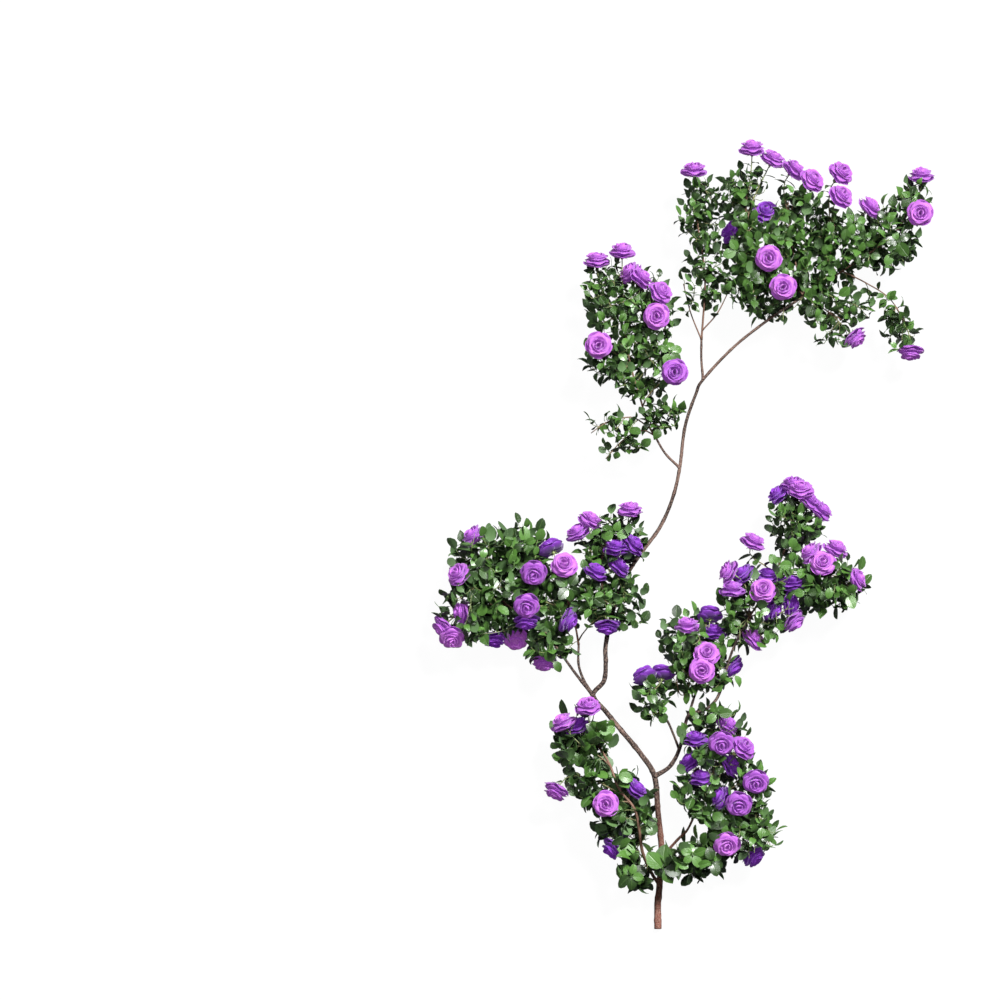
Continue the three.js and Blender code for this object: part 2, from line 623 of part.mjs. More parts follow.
// The largest body of a join, with what the join sealed filled and its loose scraps dropped. Where
// faces meet so closely that an edge gets four of them, the shapes are nudged apart and joined again.
function joined(shapes) {
  for (let nudge = 0; nudge < MOST_NUDGES; nudge++) {
    const nudged = shapes.map((shape, index) =>
      shape.translate([0, 0, NUDGE * nudge * chance(index + nudge)]),
    );
    const bodies = solid(geometryOf(wasm.Manifold.union(nudged))).decompose();
    bodies.sort((a, b) => b.volume() - a.volume());
    if (isClean(bodies[0])) return { whole: bodies[0], loose: bodies.slice(1) };
  }
  throw new Error("a join leaves an edge with more than two faces");
}

const plant = new THREE.Group();

const grownCanes = [];

function makeCanes() {
  const tubes = CANES.map(({ points, radii }) => {
    const [start, ...rest] = points.map(inMillimetres);
    const from = grownCanes.length ? nearestOn(grownCanes, start).point : start;
    const curve = smoothCurve([from, ...rest]);
    const length = curve.getLength();
    const steps = Math.ceil(length / CANE_STEP);
    grownCanes.push({ curve, length, steps });
    return tube(curve, CANE_SIDES, steps, radii[0], radii[1]);
  });
  const { whole, loose } = joined(tubes);
  if (loose.length) throw new Error("a cane doesn't reach the one that it grows from");
  remember(whole, "canes");
  plant.add(mesh("canes", whole, barkMaterial));
}

// A short straight stalk of a truss.
function stalk(from, to) {
  return tube(new THREE.LineCurve3(from, to), SHOOT_SIDES, 1, SHOOT_RADIUS, SHOOT_TIP_RADIUS);
}

// Blooms that press into each other hold together. What doesn't is held by stalks that fork behind it.
// The shape comes with its seat: where its shoot ends, and the way the shoot points there.
function trussOf(blooms) {
  const facing = new THREE.Vector3();
  const middle = new THREE.Vector3();
  for (const bloom of blooms) {
    facing.add(direction(bloom[3]));
    middle.addScaledVector(bloomBase(bloom), 1 / blooms.length);
  }
  facing.normalize();
  const shapes = blooms.map(bloomSolid);
  const clusters = wasm.Manifold.union(shapes).decompose();
  const farness = (bloom) => bloomBase(bloom).distanceTo(middle);
  const nearest = [...blooms].sort((a, b) => farness(a) - farness(b));
  if (clusters.length === 1) {
    const point = bloomBase(nearest[0]);
    return { whole: clusters[0], seat: { point, facing: direction(nearest[0][3]) } };
  }
  const point = middle.addScaledVector(facing, -TRUSS_DEPTH);
  point.z = Math.max(point.z, TRUSS_DEPTH / 2);
  const foot = point.clone().addScaledVector(facing, -TRUSS_FOOT);
  shapes.push(stalk(foot, point.clone().addScaledVector(facing, SHOOT_RADIUS)));
  for (const cluster of clusters) {
    const held = nearest.find((bloom) => bloomSolid(bloom).intersect(cluster).volume() > 1);
    shapes.push(stalk(point, bloomBase(held).addScaledVector(direction(held[3]), STALK_SUNK)));
  }
  const { whole, loose } = joined(shapes);
  if (loose.length) throw new Error(`a truss near ${blooms[0]} is ${loose.length + 1} bodies`);
  return { whole, seat: { point: foot, facing } };
}

function makeBlooms(spray) {
  return spray.blooms.map((blooms, index) => {
    const name = `bloom_${spray.name}_${index + 1}`;
    const { whole, seat } = trussOf(blooms);
    for (const other of nearThan(whole, LEAST_GAP)) throw new Error(`${name} touches ${other}`);
    remember(whole, name);
    plant.add(mesh(name, whole, petalMaterial));
    return seat;
  });
}

// The stem that carries on from a cane starts a gap beyond its end, in line with it.
function carriedOn(points) {
  const cane = grownCanes.find(({ curve }) => curve.getPoint(1).distanceTo(points[0]) < 1);
  const onwards = cane.curve.getTangent(1);
  const start = points[0].clone().addScaledVector(onwards, GAP);
  return [start, start.clone().addScaledVector(onwards, STEM_LEAD), ...points.slice(1)];
}

function makeSpray(spray, seats) {
  const owner = `spray_${spray.name}`;
  const stems = [];
  for (const points of spray.stems.map((plan) => plan.map(inMillimetres))) {
    if (stems.length) points[0] = nearestOn(stems, points[0]).point;
    const curve = smoothCurve(stems.length ? points : carriedOn(points));
    const length = curve.getLength();
    stems.push({ curve, length, steps: Math.ceil(length / STEM_STEP), forks: [] });
  }
  const pieces = stems.map(({ curve, steps }, index) => {
    const start = index === 0 ? STEM_RADIUS : STEM_TIP_RADIUS + SIDE_STEM_EXTRA;
    return tube(curve, STEM_SIDES, steps, start, STEM_TIP_RADIUS);
  });
  for (const piece of pieces)
    for (const other of nearThan(piece, LEAST_GAP)) throw new Error(`a stem of ${owner} touches ${other}`);
  const leaves = [];
  const shoots = [];
  const grow = (tip, facing, places, neck) => {
    const shoot = growShoot(stems, tip, facing);
    if (shoot) shoots.push({ ...shoot, places, neck, seed: shoots.length + stems.length });
    return shoot !== null;
  };
  for (const { point, facing } of seats) {
    const tip = point.clone().addScaledVector(facing, -GAP);
    if (!grow(tip, facing, BLOOM_SHOOT_LEAVES, BARE_NECK)) throw new Error(`${owner} can't reach a bloom`);
  }
  for (const clump of spray.clumps)
    for (const { tip, facing } of clumpTips(clump)) grow(tip, facing, LEAFY_SHOOT_LEAVES, 0);
  for (const shoot of shoots) growLeaves(shoot, shoots, leaves);
  pieces.push(...shoots.map((shoot) => shoot.shape));
  const { whole, loose } = joined([...pieces, ...leaves]);
  if (loose.length) throw new Error(`a part of ${owner} is loose`);
  remember(whole, owner);
  plant.add(mesh(owner, whole, leafMaterial));
}

makeCanes();
const seats = SPRAYS.map(makeBlooms);
SPRAYS.forEach((spray, index) => makeSpray(spray, seats[index]));

export default plant;
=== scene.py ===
"""A climbing rose, cut through at the foot and laid on its back on a pale level floor.

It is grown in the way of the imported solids: woody canes, stems that carry on from them, thin shoots
with leaves, and double roses. The plan is in centimetres from the cut foot: X across the plant, Y from
the foot to the tips and Z up from the floor. Everything is made in metres, in the frame of the solids.
"""

import bisect
import math
import random

import bmesh
import bpy
from mathutils import Matrix, Vector, noise
from mathutils.geometry import interpolate_bezier, intersect_point_line


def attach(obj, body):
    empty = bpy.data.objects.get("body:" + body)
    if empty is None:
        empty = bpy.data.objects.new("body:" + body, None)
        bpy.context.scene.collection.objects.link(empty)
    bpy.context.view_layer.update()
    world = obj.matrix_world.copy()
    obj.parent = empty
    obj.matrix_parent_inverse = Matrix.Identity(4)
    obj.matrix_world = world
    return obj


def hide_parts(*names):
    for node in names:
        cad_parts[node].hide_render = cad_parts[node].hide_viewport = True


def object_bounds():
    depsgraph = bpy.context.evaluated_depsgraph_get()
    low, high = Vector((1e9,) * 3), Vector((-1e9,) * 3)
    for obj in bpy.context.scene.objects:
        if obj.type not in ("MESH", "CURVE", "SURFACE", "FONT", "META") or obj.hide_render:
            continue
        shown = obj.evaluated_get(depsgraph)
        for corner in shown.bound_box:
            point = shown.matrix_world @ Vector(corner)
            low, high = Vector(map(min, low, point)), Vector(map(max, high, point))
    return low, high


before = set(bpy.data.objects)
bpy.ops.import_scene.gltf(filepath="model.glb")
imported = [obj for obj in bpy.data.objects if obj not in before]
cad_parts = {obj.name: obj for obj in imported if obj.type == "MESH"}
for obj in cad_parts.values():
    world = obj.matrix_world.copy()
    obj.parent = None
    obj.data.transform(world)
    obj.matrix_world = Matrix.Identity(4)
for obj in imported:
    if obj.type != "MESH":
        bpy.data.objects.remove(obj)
solid_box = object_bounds()

CM = 0.01
MM = 0.001
# The point of the plan that the frame has its origin at.
MIDDLE = (6.97, 109.6)
GOLDEN_ANGLE = math.pi * (3 - math.sqrt(5))

# The view of the photograph: straight down from far away.
VIEW_CENTRE = (-0.5077, 0.095)
VIEW_WIDTH = 2.77
VIEW_DISTANCE = 50
SENSOR_WIDTH = 36

# Each light: its strength, how broad it is in degrees, and the way that it comes from.
LIGHTS = [("key_light", 5.9, 14, (0.42, 0.62, 0.9)), ("fill_light", 0.6, 22, (-0.25, 0.3, 1))]
SURROUND_TINT = (0.85, 0.93, 1, 1)
SURROUND_STRENGTH = 0.05
FLOOR_SIZE = 30
FLOOR_DROP = 0.5 * MM
FLOOR_SHADE = 0.03
# How much the floor shines on the plant, and how much to the camera.
FLOOR_SHINE = (0.04, 0.97)

FOOT_RADIUS = 11
FOOT_Z = FOOT_RADIUS * math.cos(math.pi / 6) / 10
CANE_SIDES = 18
CANE_STEP = 5 * MM
KNOT_SPACING = 62 * MM
STEM_SIDES = 7
STEM_STEP = 12 * MM
STEM_RADIUS = 3.0
SIDE_STEM_RADIUS = 2.2
STEM_TAPER = 0.6
SHOOT_SIDES = 4
SHOOT_POINTS = 7
# The radius of a shoot at its root and its tip.
BLOOM_SHOOT = (2 * MM, 1.5 * MM)
LEAFY_SHOOT = (1.1 * MM, 0.7 * MM)
ROSETTE_SHOOT = (1.4 * MM, 1 * MM)

# The share of a clump in the plan that each leafy shoot has, in square centimetres.
SHOOT_AREA = 5.0
# Where the leaves of a shoot start and end, measured back from its tip.
BLOOM_LEAVES = (14 * MM, 80 * MM)
SHOOT_LEAVES = (0.0, 62 * MM)
LEAF_SPACING = 10.5 * MM
LEAF_THICKNESS = 0.6 * MM
ROSETTE_LEAVES = 5
# The share of the upper leafy shoots of a spray that point to the front.
FORWARD_SHARE = 0.3
# The tones of leaf, from dark to fresh: the dark is partly old leaves and partly painted shade. Which one a
# leaf has goes by chance, by how far it is above the middle height, lower leaves taking darker tones as
# painted shade, and by whether it is near the tip of its shoot or further in, the inner ones older and in
# painted shade.
LEAF_TONES = (0.1, 0.5, 0.95)
TONE_LIMITS = (0.5, 1.0)
MIDDLE_Z = 120 * MM
LEAFY_DEPTH = 150 * MM
TIP_LENGTH = 20 * MM
TIP_FRESHNESS = 0.25
INNER_AGE_AND_SHADE = -0.15

# What a leaf keeps clear of: the floor, the rim of the solids' box, the stems that show and the blooms.
FLOOR_GAP = 0.4 * MM
BOX_MARGIN = 10 * MM
LEAF_MIDDLE = 18 * MM
STEM_GAP = 17 * MM
STEM_DEPTH = 4 * MM
BLOOM_GAP = 34 * MM
ABOVE_BLOOM_GAP = 26 * MM
FACE_GAP = 40 * MM
FACE_DEPTH = 90 * MM

PETAL_THICKNESS = 0.5 * MM
BLOOM_DEPTH = 44 * MM
# How much a bloom leans to the front. What faces the front by more than the second share is frontal.
FRONT_LEAN = 0.28
FRONTAL = 0.6

# Woody canes: points of the centre line, and the radius at its two ends in millimetres.
CANES = [
    ([(0, 0, FOOT_Z), (0, 3, FOOT_Z), (0, 7, FOOT_Z), (0.5, 12.5, 2.6), (1, 22, 5), (0, 32.5, 7.5),
      (-1, 42.5, 9), (-5, 49, 9.5), (-10, 55, 10), (-14.5, 60.5, 10.5), (-18, 65, 11), (-15, 69, 11.5),
      (-14.5, 74, 11.5), (-14.5, 79, 11), (-12.5, 88.5, 10), (-9, 97.5, 9.5), (-5, 104, 9),
      (0.5, 111.5, 8.5), (4, 119.5, 8.5), (6, 128, 9), (7.5, 139.5, 9), (10.5, 148.5, 9),
      (12.5, 152.5, 9.5), (21, 161.5, 10.5), (30.5, 169, 11.5), (39.5, 175, 12)], (FOOT_RADIUS, 3.5)),
    ([(0.5, 12.5, 2.6), (-1, 14.3, 3.8), (-2.2, 16.5, 5.3)], (5.5, 4.5)),
    ([(0.8, 17, 3.8), (4, 19, 5.5)], (4, 3)),
    ([(1, 20, 4.5), (5.5, 25, 8), (8, 27.5, 9.5), (10, 31.5, 11)], (5, 3)),
    ([(-18, 65, 11), (-22.5, 70.5, 11.5), (-26.5, 76, 12), (-31, 82, 12)], (5.5, 3)),
    ([(-18, 65, 11), (-20.5, 69, 10.5), (-22, 73.5, 10), (-22, 79, 9.5)], (5, 3)),
    ([(-12.7, 87, 10.2), (-14.5, 91, 12), (-15.5, 95, 13.5)], (4, 3)),
    ([(6, 128, 9), (2, 132, 10), (-1, 137, 11)], (4, 3)),
    ([(12.5, 152.5, 9.5), (12, 158, 10), (12, 163.5, 11)], (4, 3)),
    ([(-1, 42.5, 9), (3, 45, 9.5), (5.5, 49, 10), (7, 54, 10.5), (8.5, 59.5, 11), (13, 61, 11),
      (16.5, 64.5, 11.5), (18.5, 71, 12), (21, 78.5, 12), (24.5, 85.5, 12.5)], (7, 3)),
    ([(8.5, 59.5, 11), (10, 64.5, 12), (11.5, 68, 12.5)], (4, 3)),
    ([(5.7, 50, 10.1), (4.3, 54, 10.8), (2.5, 58, 11.4), (0, 61, 12)], (3.5, 3)),
    ([(0.2, 30, 7), (-0.9, 30.2, 7.5), (-1.9, 30.3, 8)], (4, 3.6)),
]

# How deep the violet of a bloom is, partly its own colour and partly painted shade. One that looks to the
# front is pale and the others are soft, a painted shade on the ones that face aside, unless it says that it
# is half deep or deep, which is partly painted shade on blooms in the shade of the plant.
PALE = 0
SOFT_SIDE_SHADE = 0.2
HALF_DEEP_AND_SHADED = 0.4
DEEP_AND_SHADED = 1

# Leafy sprays. leaf_size is how large the leaves are beside the usual ones, round_share how many of them
# are round, fullness how many leafy shoots there are beside the usual number, and forward_share how many
# of the upper ones point to the front, where that isn't the usual share. stem_radius is that of the
# first stem in millimetres, where it is thicker than usual.
# The first stem carries on from the end of a cane, and the others leave an earlier stem.
# A clump is where leafy shoots end: its centre, its three radii, and how full it is where it is sparse.
# A rosette is a ring of large leaves that opens to the front: its centre and its size.
# A bloom is its centre and the way it faces: U up the plant, D down, L left, R right, F front, B back,
# and a letter given twice counts double. Then comes how deep its violet is, partly its own colour and partly
# painted shade, where it isn't the usual.
# Each list of blooms is one piece.
SPRAYS = [dict(
    name="lower_left", leaf_size=1.25, round_share=0.9, fullness=1.05, forward_share=0.75, stem_radius=5,
    stems=[
        [(-2.2, 16.5, 5.3), (-4.3, 21.5, 11), (-5.3, 28, 15), (-6.5, 33.5, 16), (-11, 39.5, 15.5),
         (-13.5, 46, 14), (-17.5, 52.5, 12)],
    ],
    clumps=[
        (-20.8, 52, 12, 7.5, 8.5, 9), (-18.8, 40, 12, 4, 5, 6), (-9, 32, 12, 8, 11, 9),
        (-5.2, 16.5, 9, 4.6, 5.5, 8),
    ],
    rosettes=[
        (1.3, 17, 15, 1.5), (-11.4, 43, 19, 1.1), (-9.7, 33.2, 18, 1.1), (-7.6, 15, 14, 1),
        (-3.5, 29, 17, 1),
    ],
    blooms=[
        [(-19.5, 62.5, 17.5, "UUF"), (-26.5, 58, 15, "UUL"), (-22.5, 57, 12, "LUU", DEEP_AND_SHADED)],
        [(-28.5, 38, 12, "DDL")], [(-14.5, 35, 20, "F")], [(-6, 39.5, 15, "UR", DEEP_AND_SHADED)],
        [(-13, 22, 10, "LD", DEEP_AND_SHADED)],
    ],
), dict(
    name="low_right", leaf_size=1.15, round_share=0.9, fullness=1.0, forward_share=0.6,
    stems=[[(4, 19, 5.5), (7, 20.5, 7), (12, 22, 9.5), (17, 22, 11)]],
    clumps=[(10, 20, 9, 7.5, 6, 8), (2.5, 17.5, 12, 3.5, 3, 3)],
    rosettes=[(9.5, 21, 16, 1), (15, 19, 16, 1)],
    blooms=[[(19, 23.5, 18, "FFD")], [(27, 20, 9, "DR", DEEP_AND_SHADED)]],
), dict(
    name="lower_right", leaf_size=0.92, round_share=0.7, fullness=1.3,
    stems=[
        [(10, 31.5, 11), (13, 36, 10.5), (15, 41, 10), (16, 46, 9.5)],
        [(13, 36, 10.5), (18, 37, 10), (23, 34, 10)],
    ],
    clumps=[(15.8, 54, 12, 9, 8, 9), (17.7, 39, 12, 13, 10, 9), (24, 27, 12, 9, 7, 8)],
    rosettes=[(18.6, 30, 18, 1.1), (16.3, 60, 18, 1), (13, 48, 17, 0.85)],
    blooms=[
        [(17.5, 51.5, 21, "FFD", HALF_DEEP_AND_SHADED), (24, 51, 19.5, "FUR", HALF_DEEP_AND_SHADED), (19.5, 57, 12, "UR", HALF_DEEP_AND_SHADED),
         (10.5, 53.3, 14, "UU", DEEP_AND_SHADED), (8.5, 47, 12, "UL", DEEP_AND_SHADED), (12, 42.5, 13, "UU", DEEP_AND_SHADED),
         (20.5, 46, 13, "RRU", DEEP_AND_SHADED)],
        [(27, 40.8, 19.5, "FFD", HALF_DEEP_AND_SHADED), (22.3, 34.6, 20.5, "FFD", HALF_DEEP_AND_SHADED), (17, 37, 14, "LLU", DEEP_AND_SHADED)],
    ],
), dict(
    name="middle_tuft", leaf_size=0.9, round_share=0.6, fullness=1.0,
    stems=[[(0, 61, 12), (-2, 64.5, 12.5), (-2.5, 67.5, 13)]],
    clumps=[(-1.7, 65, 12, 5, 7, 7)],
    blooms=[[(-4, 71, 14, "UULB", DEEP_AND_SHADED), (1, 71.5, 11, "UUB", DEEP_AND_SHADED)]],
), dict(
    name="right_middle", leaf_size=0.9, round_share=0.6, fullness=1.15,
    stems=[
        [(11.5, 68, 12.5), (12, 72, 11.5), (12, 77, 10), (12.5, 82, 9.5)],
        [(9, 61, 11.2), (6.5, 65, 11.5), (5, 69.5, 12)],
        [(8.8, 60.5, 11.1), (8.3, 66, 12), (8.5, 71.5, 12)],
        [(10.5, 65.5, 12.1), (14, 68, 12), (17, 71, 12)],
    ],
    clumps=[(10.2, 80, 12, 10, 8, 9), (13.5, 71.5, 12, 8.5, 5.5, 9), (5.5, 70.5, 12, 5, 4.5, 8, 0.9)],
    rosettes=[(6.5, 80, 17, 0.9)],
    blooms=[
        [(13.5, 77, 19, "FFU"), (12, 72, 21, "FF"), (8.2, 84.8, 16, "UU"), (15.5, 83, 13, "UU", DEEP_AND_SHADED),
         (14.3, 88, 12, "UUB", DEEP_AND_SHADED)],
        [(21, 72.5, 6, "DR", DEEP_AND_SHADED)],
    ],
), dict(
    name="right_upper", leaf_size=0.95, round_share=0.6, fullness=1.15,
    stems=[
        [(24.5, 85.5, 12.5), (28, 91, 11), (32, 98, 9.5), (35, 105, 9.5), (37, 111.5, 10), (37.5, 116, 10)],
        [(32, 98, 9.5), (39, 98.5, 9), (45, 98.5, 9.5), (50, 98, 10.5)],
    ],
    clumps=[
        (26, 88, 12, 9, 10, 9), (36.6, 94, 12, 8, 9, 9), (38, 113, 12, 7.5, 8, 9), (49, 96, 12, 8, 8, 9),
    ],
    rosettes=[(41, 93, 18, 0.95), (24, 90, 18, 0.95), (33, 101, 17, 0.9)],
    blooms=[
        [(19, 99.5, 15, "LLU"), (23.5, 99, 12, "UL", DEEP_AND_SHADED), (20.6, 94.8, 16, "UU", HALF_DEEP_AND_SHADED),
         (29, 94.5, 20.5, "FFU"), (30.7, 98.6, 13, "UU", DEEP_AND_SHADED), (37, 96.4, 13, "UU", DEEP_AND_SHADED),
         (37.2, 90.2, 12, "RR", DEEP_AND_SHADED), (32.4, 88.5, 12, "RRD", DEEP_AND_SHADED), (38, 85, 14, "RD", HALF_DEEP_AND_SHADED)],
        [(26.8, 81, 11, "RU")], [(26.5, 108, 14, "UUR")],
        [(33, 121, 12, "LU", DEEP_AND_SHADED), (37.5, 124, 13, "UU", HALF_DEEP_AND_SHADED), (39.5, 122.5, 16, "UUF"),
         (42, 119.5, 14, "UR", HALF_DEEP_AND_SHADED), (45.5, 116.5, 13, "UR", HALF_DEEP_AND_SHADED)],
        [(42, 105, 15, "UL"), (45.5, 102, 18, "FFU"), (49.5, 106, 14, "UUR")], [(55.5, 97.5, 14, "RRU")],
    ],
), dict(
    name="centre_left", leaf_size=1.05, round_share=0.6, fullness=1.05,
    stems=[[(-31, 82, 12), (-37, 86.5, 12), (-43, 91, 12), (-48.5, 95, 12.5), (-51, 100.5, 13)]],
    clumps=[(-49.3, 102, 12, 8, 9, 9), (-52.5, 88, 12, 8, 8, 9), (-41, 91, 12, 8, 10, 9)],
    rosettes=[(-50, 100, 18, 1.05)],
    blooms=[
        [(-51.5, 109.5, 13, "LU", HALF_DEEP_AND_SHADED)], [(-55.5, 99, 17, "LFU")],
        [(-55, 88, 12, "LL"), (-60, 83.5, 12, "LD"), (-57, 80.5, 14, "DF")],
        [(-45.5, 80, 10, "D", DEEP_AND_SHADED), (-39.5, 80, 9, "DF")], [(-31.5, 73.5, 9, "DD")],
    ],
), dict(
    name="centre", leaf_size=1.0, round_share=0.7, fullness=1.05,
    stems=[[(-22, 79, 9.5), (-23, 84.5, 10.5), (-25, 91, 12), (-28, 97, 12.5), (-30, 101, 12.5)]],
    clumps=[(-38, 106, 12, 7, 7, 9), (-30, 91, 12, 9, 9, 9), (-31, 78.5, 12, 6, 5, 8)],
    rosettes=[(-37, 107, 18, 1.2), (-24.8, 95, 19, 1), (-40.3, 93.5, 18, 0.9)],
    blooms=[
        [(-30, 106.5, 14, "UULB", DEEP_AND_SHADED), (-26, 101.5, 20.5, "FFU")], [(-34.5, 98.5, 22, "FFD", HALF_DEEP_AND_SHADED)],
        [(-36.5, 89.5, 21.5, "FFD", HALF_DEEP_AND_SHADED), (-36.5, 85, 17.5, "DD", DEEP_AND_SHADED)],
        [(-24.5, 85.5, 16.5, "RRD", DEEP_AND_SHADED)], [(-14.2, 83.5, 16.5, "D", DEEP_AND_SHADED)],
    ],
), dict(
    name="centre_right", leaf_size=0.95, round_share=0.5, fullness=1.0,
    stems=[
        [(-15.5, 95, 13.5), (-16, 99.5, 13), (-15.5, 104, 12.5), (-14.5, 109, 13)],
        [(-16, 97, 13.3), (-19, 93, 14), (-19.5, 88.5, 15)],
    ],
    clumps=[(-12.7, 107, 12, 9, 9, 9), (-15, 94, 13, 8, 8, 8), (-7.5, 90, 13, 5, 7, 6, 0.5)],
    rosettes=[(-12, 110, 17, 0.95), (-18, 92, 19, 0.9)],
    blooms=[
        [(-8, 117, 14, "UU")], [(-18.5, 114, 13, "UUR"), (-22.5, 110.5, 13.5, "UUL", HALF_DEEP_AND_SHADED)],
        [(-6.5, 107, 15, "UR", DEEP_AND_SHADED), (-11.6, 106.3, 16.5, "UU", DEEP_AND_SHADED), (-10.5, 101, 14, "UR", DEEP_AND_SHADED),
         (-17, 99.6, 18, "UUR", DEEP_AND_SHADED)],
    ],
), dict(
    name="tall_left", leaf_size=0.88, round_share=0.35, fullness=1.2,
    stems=[
        [(-1, 137, 11), (-3, 140.5, 11.5), (-5, 147.5, 12), (-7, 154, 12.5), (-8.5, 161, 13), (-9, 168, 13),
         (-9, 174, 13)],
        [(-2.6, 139.6, 11.4), (-6.5, 141.8, 12), (-10, 141.8, 12), (-14.5, 140.5, 12), (-18.6, 137.6, 12)],
        [(-1.3, 137.4, 11.1), (-4, 138.4, 12), (-7, 137.5, 12), (-10.5, 135, 12), (-14.5, 130.5, 12)],
    ],
    clumps=[
        (-12.7, 175, 12, 7.5, 10, 9), (-2.8, 171, 12, 7, 11, 9), (-4.5, 155.5, 12, 9.5, 8, 9),
        (-14, 158.5, 11, 6, 5.5, 8), (-12.5, 140, 12, 7.5, 3, 6, 0.7), (-10.5, 134, 12, 6, 3, 5, 0.6),
        (1, 143, 12, 5.5, 4.5, 6),
    ],
    rosettes=[(3.2, 160, 17, 0.95), (-8.6, 171, 18, 0.95)],
    blooms=[
        [(-17, 186, 13, "UU")],
        [(-10, 188.5, 14, "UU"), (-8, 182.5, 12.5, "LU"), (-4.5, 181, 15, "UR"), (1, 177, 17, "UFR"),
         (-0.5, 170, 20, "FF")],
        [(-16.5, 162, 20, "FF")], [(4.5, 154.5, 20, "FF", HALF_DEEP_AND_SHADED)],
    ],
), dict(
    name="crown_left", leaf_size=0.85, round_share=0.2, fullness=1.0,
    stems=[
        [(12, 163.5, 11), (12.5, 170, 11.5), (13, 178, 12), (12.5, 186, 12), (11, 195, 12.5), (10, 203, 13)],
        [(12.2, 164, 11), (9, 171, 12), (7, 179, 12.5)],
        [(12.3, 166, 11.3), (16.5, 171, 12), (20, 178, 12.5)],
    ],
    clumps=[(12.5, 198, 12, 6.5, 10, 9), (14, 182, 12, 7.5, 8, 9, 0.8), (13, 173.5, 12, 7, 4, 6, 0.3)],
    blooms=[[(10, 211, 13, "UU")]],
), dict(
    name="crown", leaf_size=0.9, round_share=0.3, fullness=1.15,
    stems=[
        [(39.5, 175, 12), (45, 178.5, 12.5), (51, 182.5, 13), (57, 186.5, 13), (62, 190, 13), (67, 195, 13),
         (70, 201, 13)],
        [(41, 176, 12.1), (34, 181, 12), (28, 187, 12), (24.5, 195, 12.5), (24.5, 205, 13)],
        [(41, 176, 12.1), (38, 185, 13), (36.5, 194, 13), (36, 202, 13)],
        [(45, 178.5, 12.5), (47.5, 187, 13), (49, 196, 13)],
        [(51, 182.5, 13), (58, 179, 12), (64, 175, 12), (68.5, 168.5, 11.5)],
        [(41, 176, 12.1), (46, 172, 11), (51, 169, 11)],
    ],
    clumps=[
        (24, 203, 12, 6, 8, 9), (28.5, 191, 12, 9, 10, 10), (39.5, 195, 12, 9, 10, 10),
        (31, 175.5, 12, 8, 7, 9), (25, 180, 12, 6, 8, 8), (42, 181, 12, 7, 5, 8), (52, 190, 12, 9, 8, 10),
        (64, 192, 12, 8, 9, 9), (71, 203.5, 12, 4, 5, 6), (46.5, 174, 12, 8, 7, 9, 0.8),
        (60, 173, 12, 7, 5, 8, 0.4), (67, 166, 12, 5, 5, 7, 0.5), (49, 163.5, 11, 6, 3, 6, 0.35),
    ],
    rosettes=[
        (66.3, 190.7, 18, 1.1), (57, 191, 18, 0.9), (25.6, 180, 19, 1), (70.2, 203, 17, 0.85),
        (54.5, 196, 18, 0.9), (22, 188, 18, 0.95), (63, 197, 18, 0.9),
    ],
    blooms=[
        [(26, 217, 13, "UU"), (32, 214, 13, "UUR"), (38, 211, 14, "UR"), (43, 208, 17, "URF")],
        [(51, 210, 16.5, "URF"), (51, 203.5, 18.5, "RUF")], [(59, 200.5, 15, "UR")],
        [(73, 209.5, 13, "UU")], [(72.5, 198.5, 20, "FF")], [(30.5, 186, 21, "FF")],
        [(34.5, 178, 21.5, "FF")], [(30, 199.5, 8, "UF", DEEP_AND_SHADED)], [(20, 194, 8, "UL", DEEP_AND_SHADED)],
        [(55, 163.5, 11, "DR")], [(70, 159.5, 10, "DD")],
    ],
)]

# Lines of cane and stem that no leaf lies over.
SHOWN_STEMS = [
    [(0.5, 12.5, 2.6), (-1, 14.3, 3.8), (-2.2, 16.5, 5.3), (-4.3, 21.5, 11), (-5.3, 28, 15),
     (-6.5, 33.5, 16), (-11, 39.5, 15.5), (-13.5, 46, 14)],
    [(3.5, 22.5, 6), (5.5, 25, 8), (8, 27.5, 9.5), (10, 31.5, 11)],
    [(0, 6, 1), (0.6, 13.5, 2.8), (0.8, 15.5, 3.3)], [(26, 165.5, 11), (40.5, 175.8, 12)],
    [(18.5, 71, 12), (21, 78.5, 12), (24.5, 85.5, 12.5), (27.5, 90.3, 11.2)],
    [(0.9, 25, 5.6), (0, 32.5, 7.5), (-1, 42.5, 9)],
]

WAYS = {
    "U": Vector((0, 1, 0)), "D": Vector((0, -1, 0)), "L": Vector((-1, 0, 0)),
    "R": Vector((1, 0, 0)), "F": Vector((0, 0, 1)), "B": Vector((0, 0, -1)),
}


def placed(point):
    """A point of the plan, in metres in the frame."""
    x, y, z = point[:3]
    return Vector((x - MIDDLE[0], y - MIDDLE[1], z)) * CM


def facing_of(bloom):
    """The way a bloom looks. What faces neither the front nor the back leans a little to the front."""
    facing = sum((WAYS[letter] for letter in bloom[3]), Vector()).normalized()
    if not set(bloom[3]) & {"F", "B"}:
        facing.z += FRONT_LEAN
    return facing.normalized()


def violet_and_shade_of(bloom):
    # The depth of violet is partly painted shade: blooms that face aside get a little, shaded ones more.
    if len(bloom) > 4:
        return bloom[4]
    return PALE if facing_of(bloom).z > FRONTAL else SOFT_SIDE_SHADE


def sway(most, chance):
    return Vector([chance.uniform(-most, most) for axis in range(3)])


def tint(red, green, blue):
    """A colour given as 0 to 255, for a shader."""
    shares = [value / 255 for value in (red, green, blue)]
    return (*[((share + 0.055) / 1.055) ** 2.4 if share > 0.04 else share / 12.92 for share in shares], 1)


# Lines that wood grows along

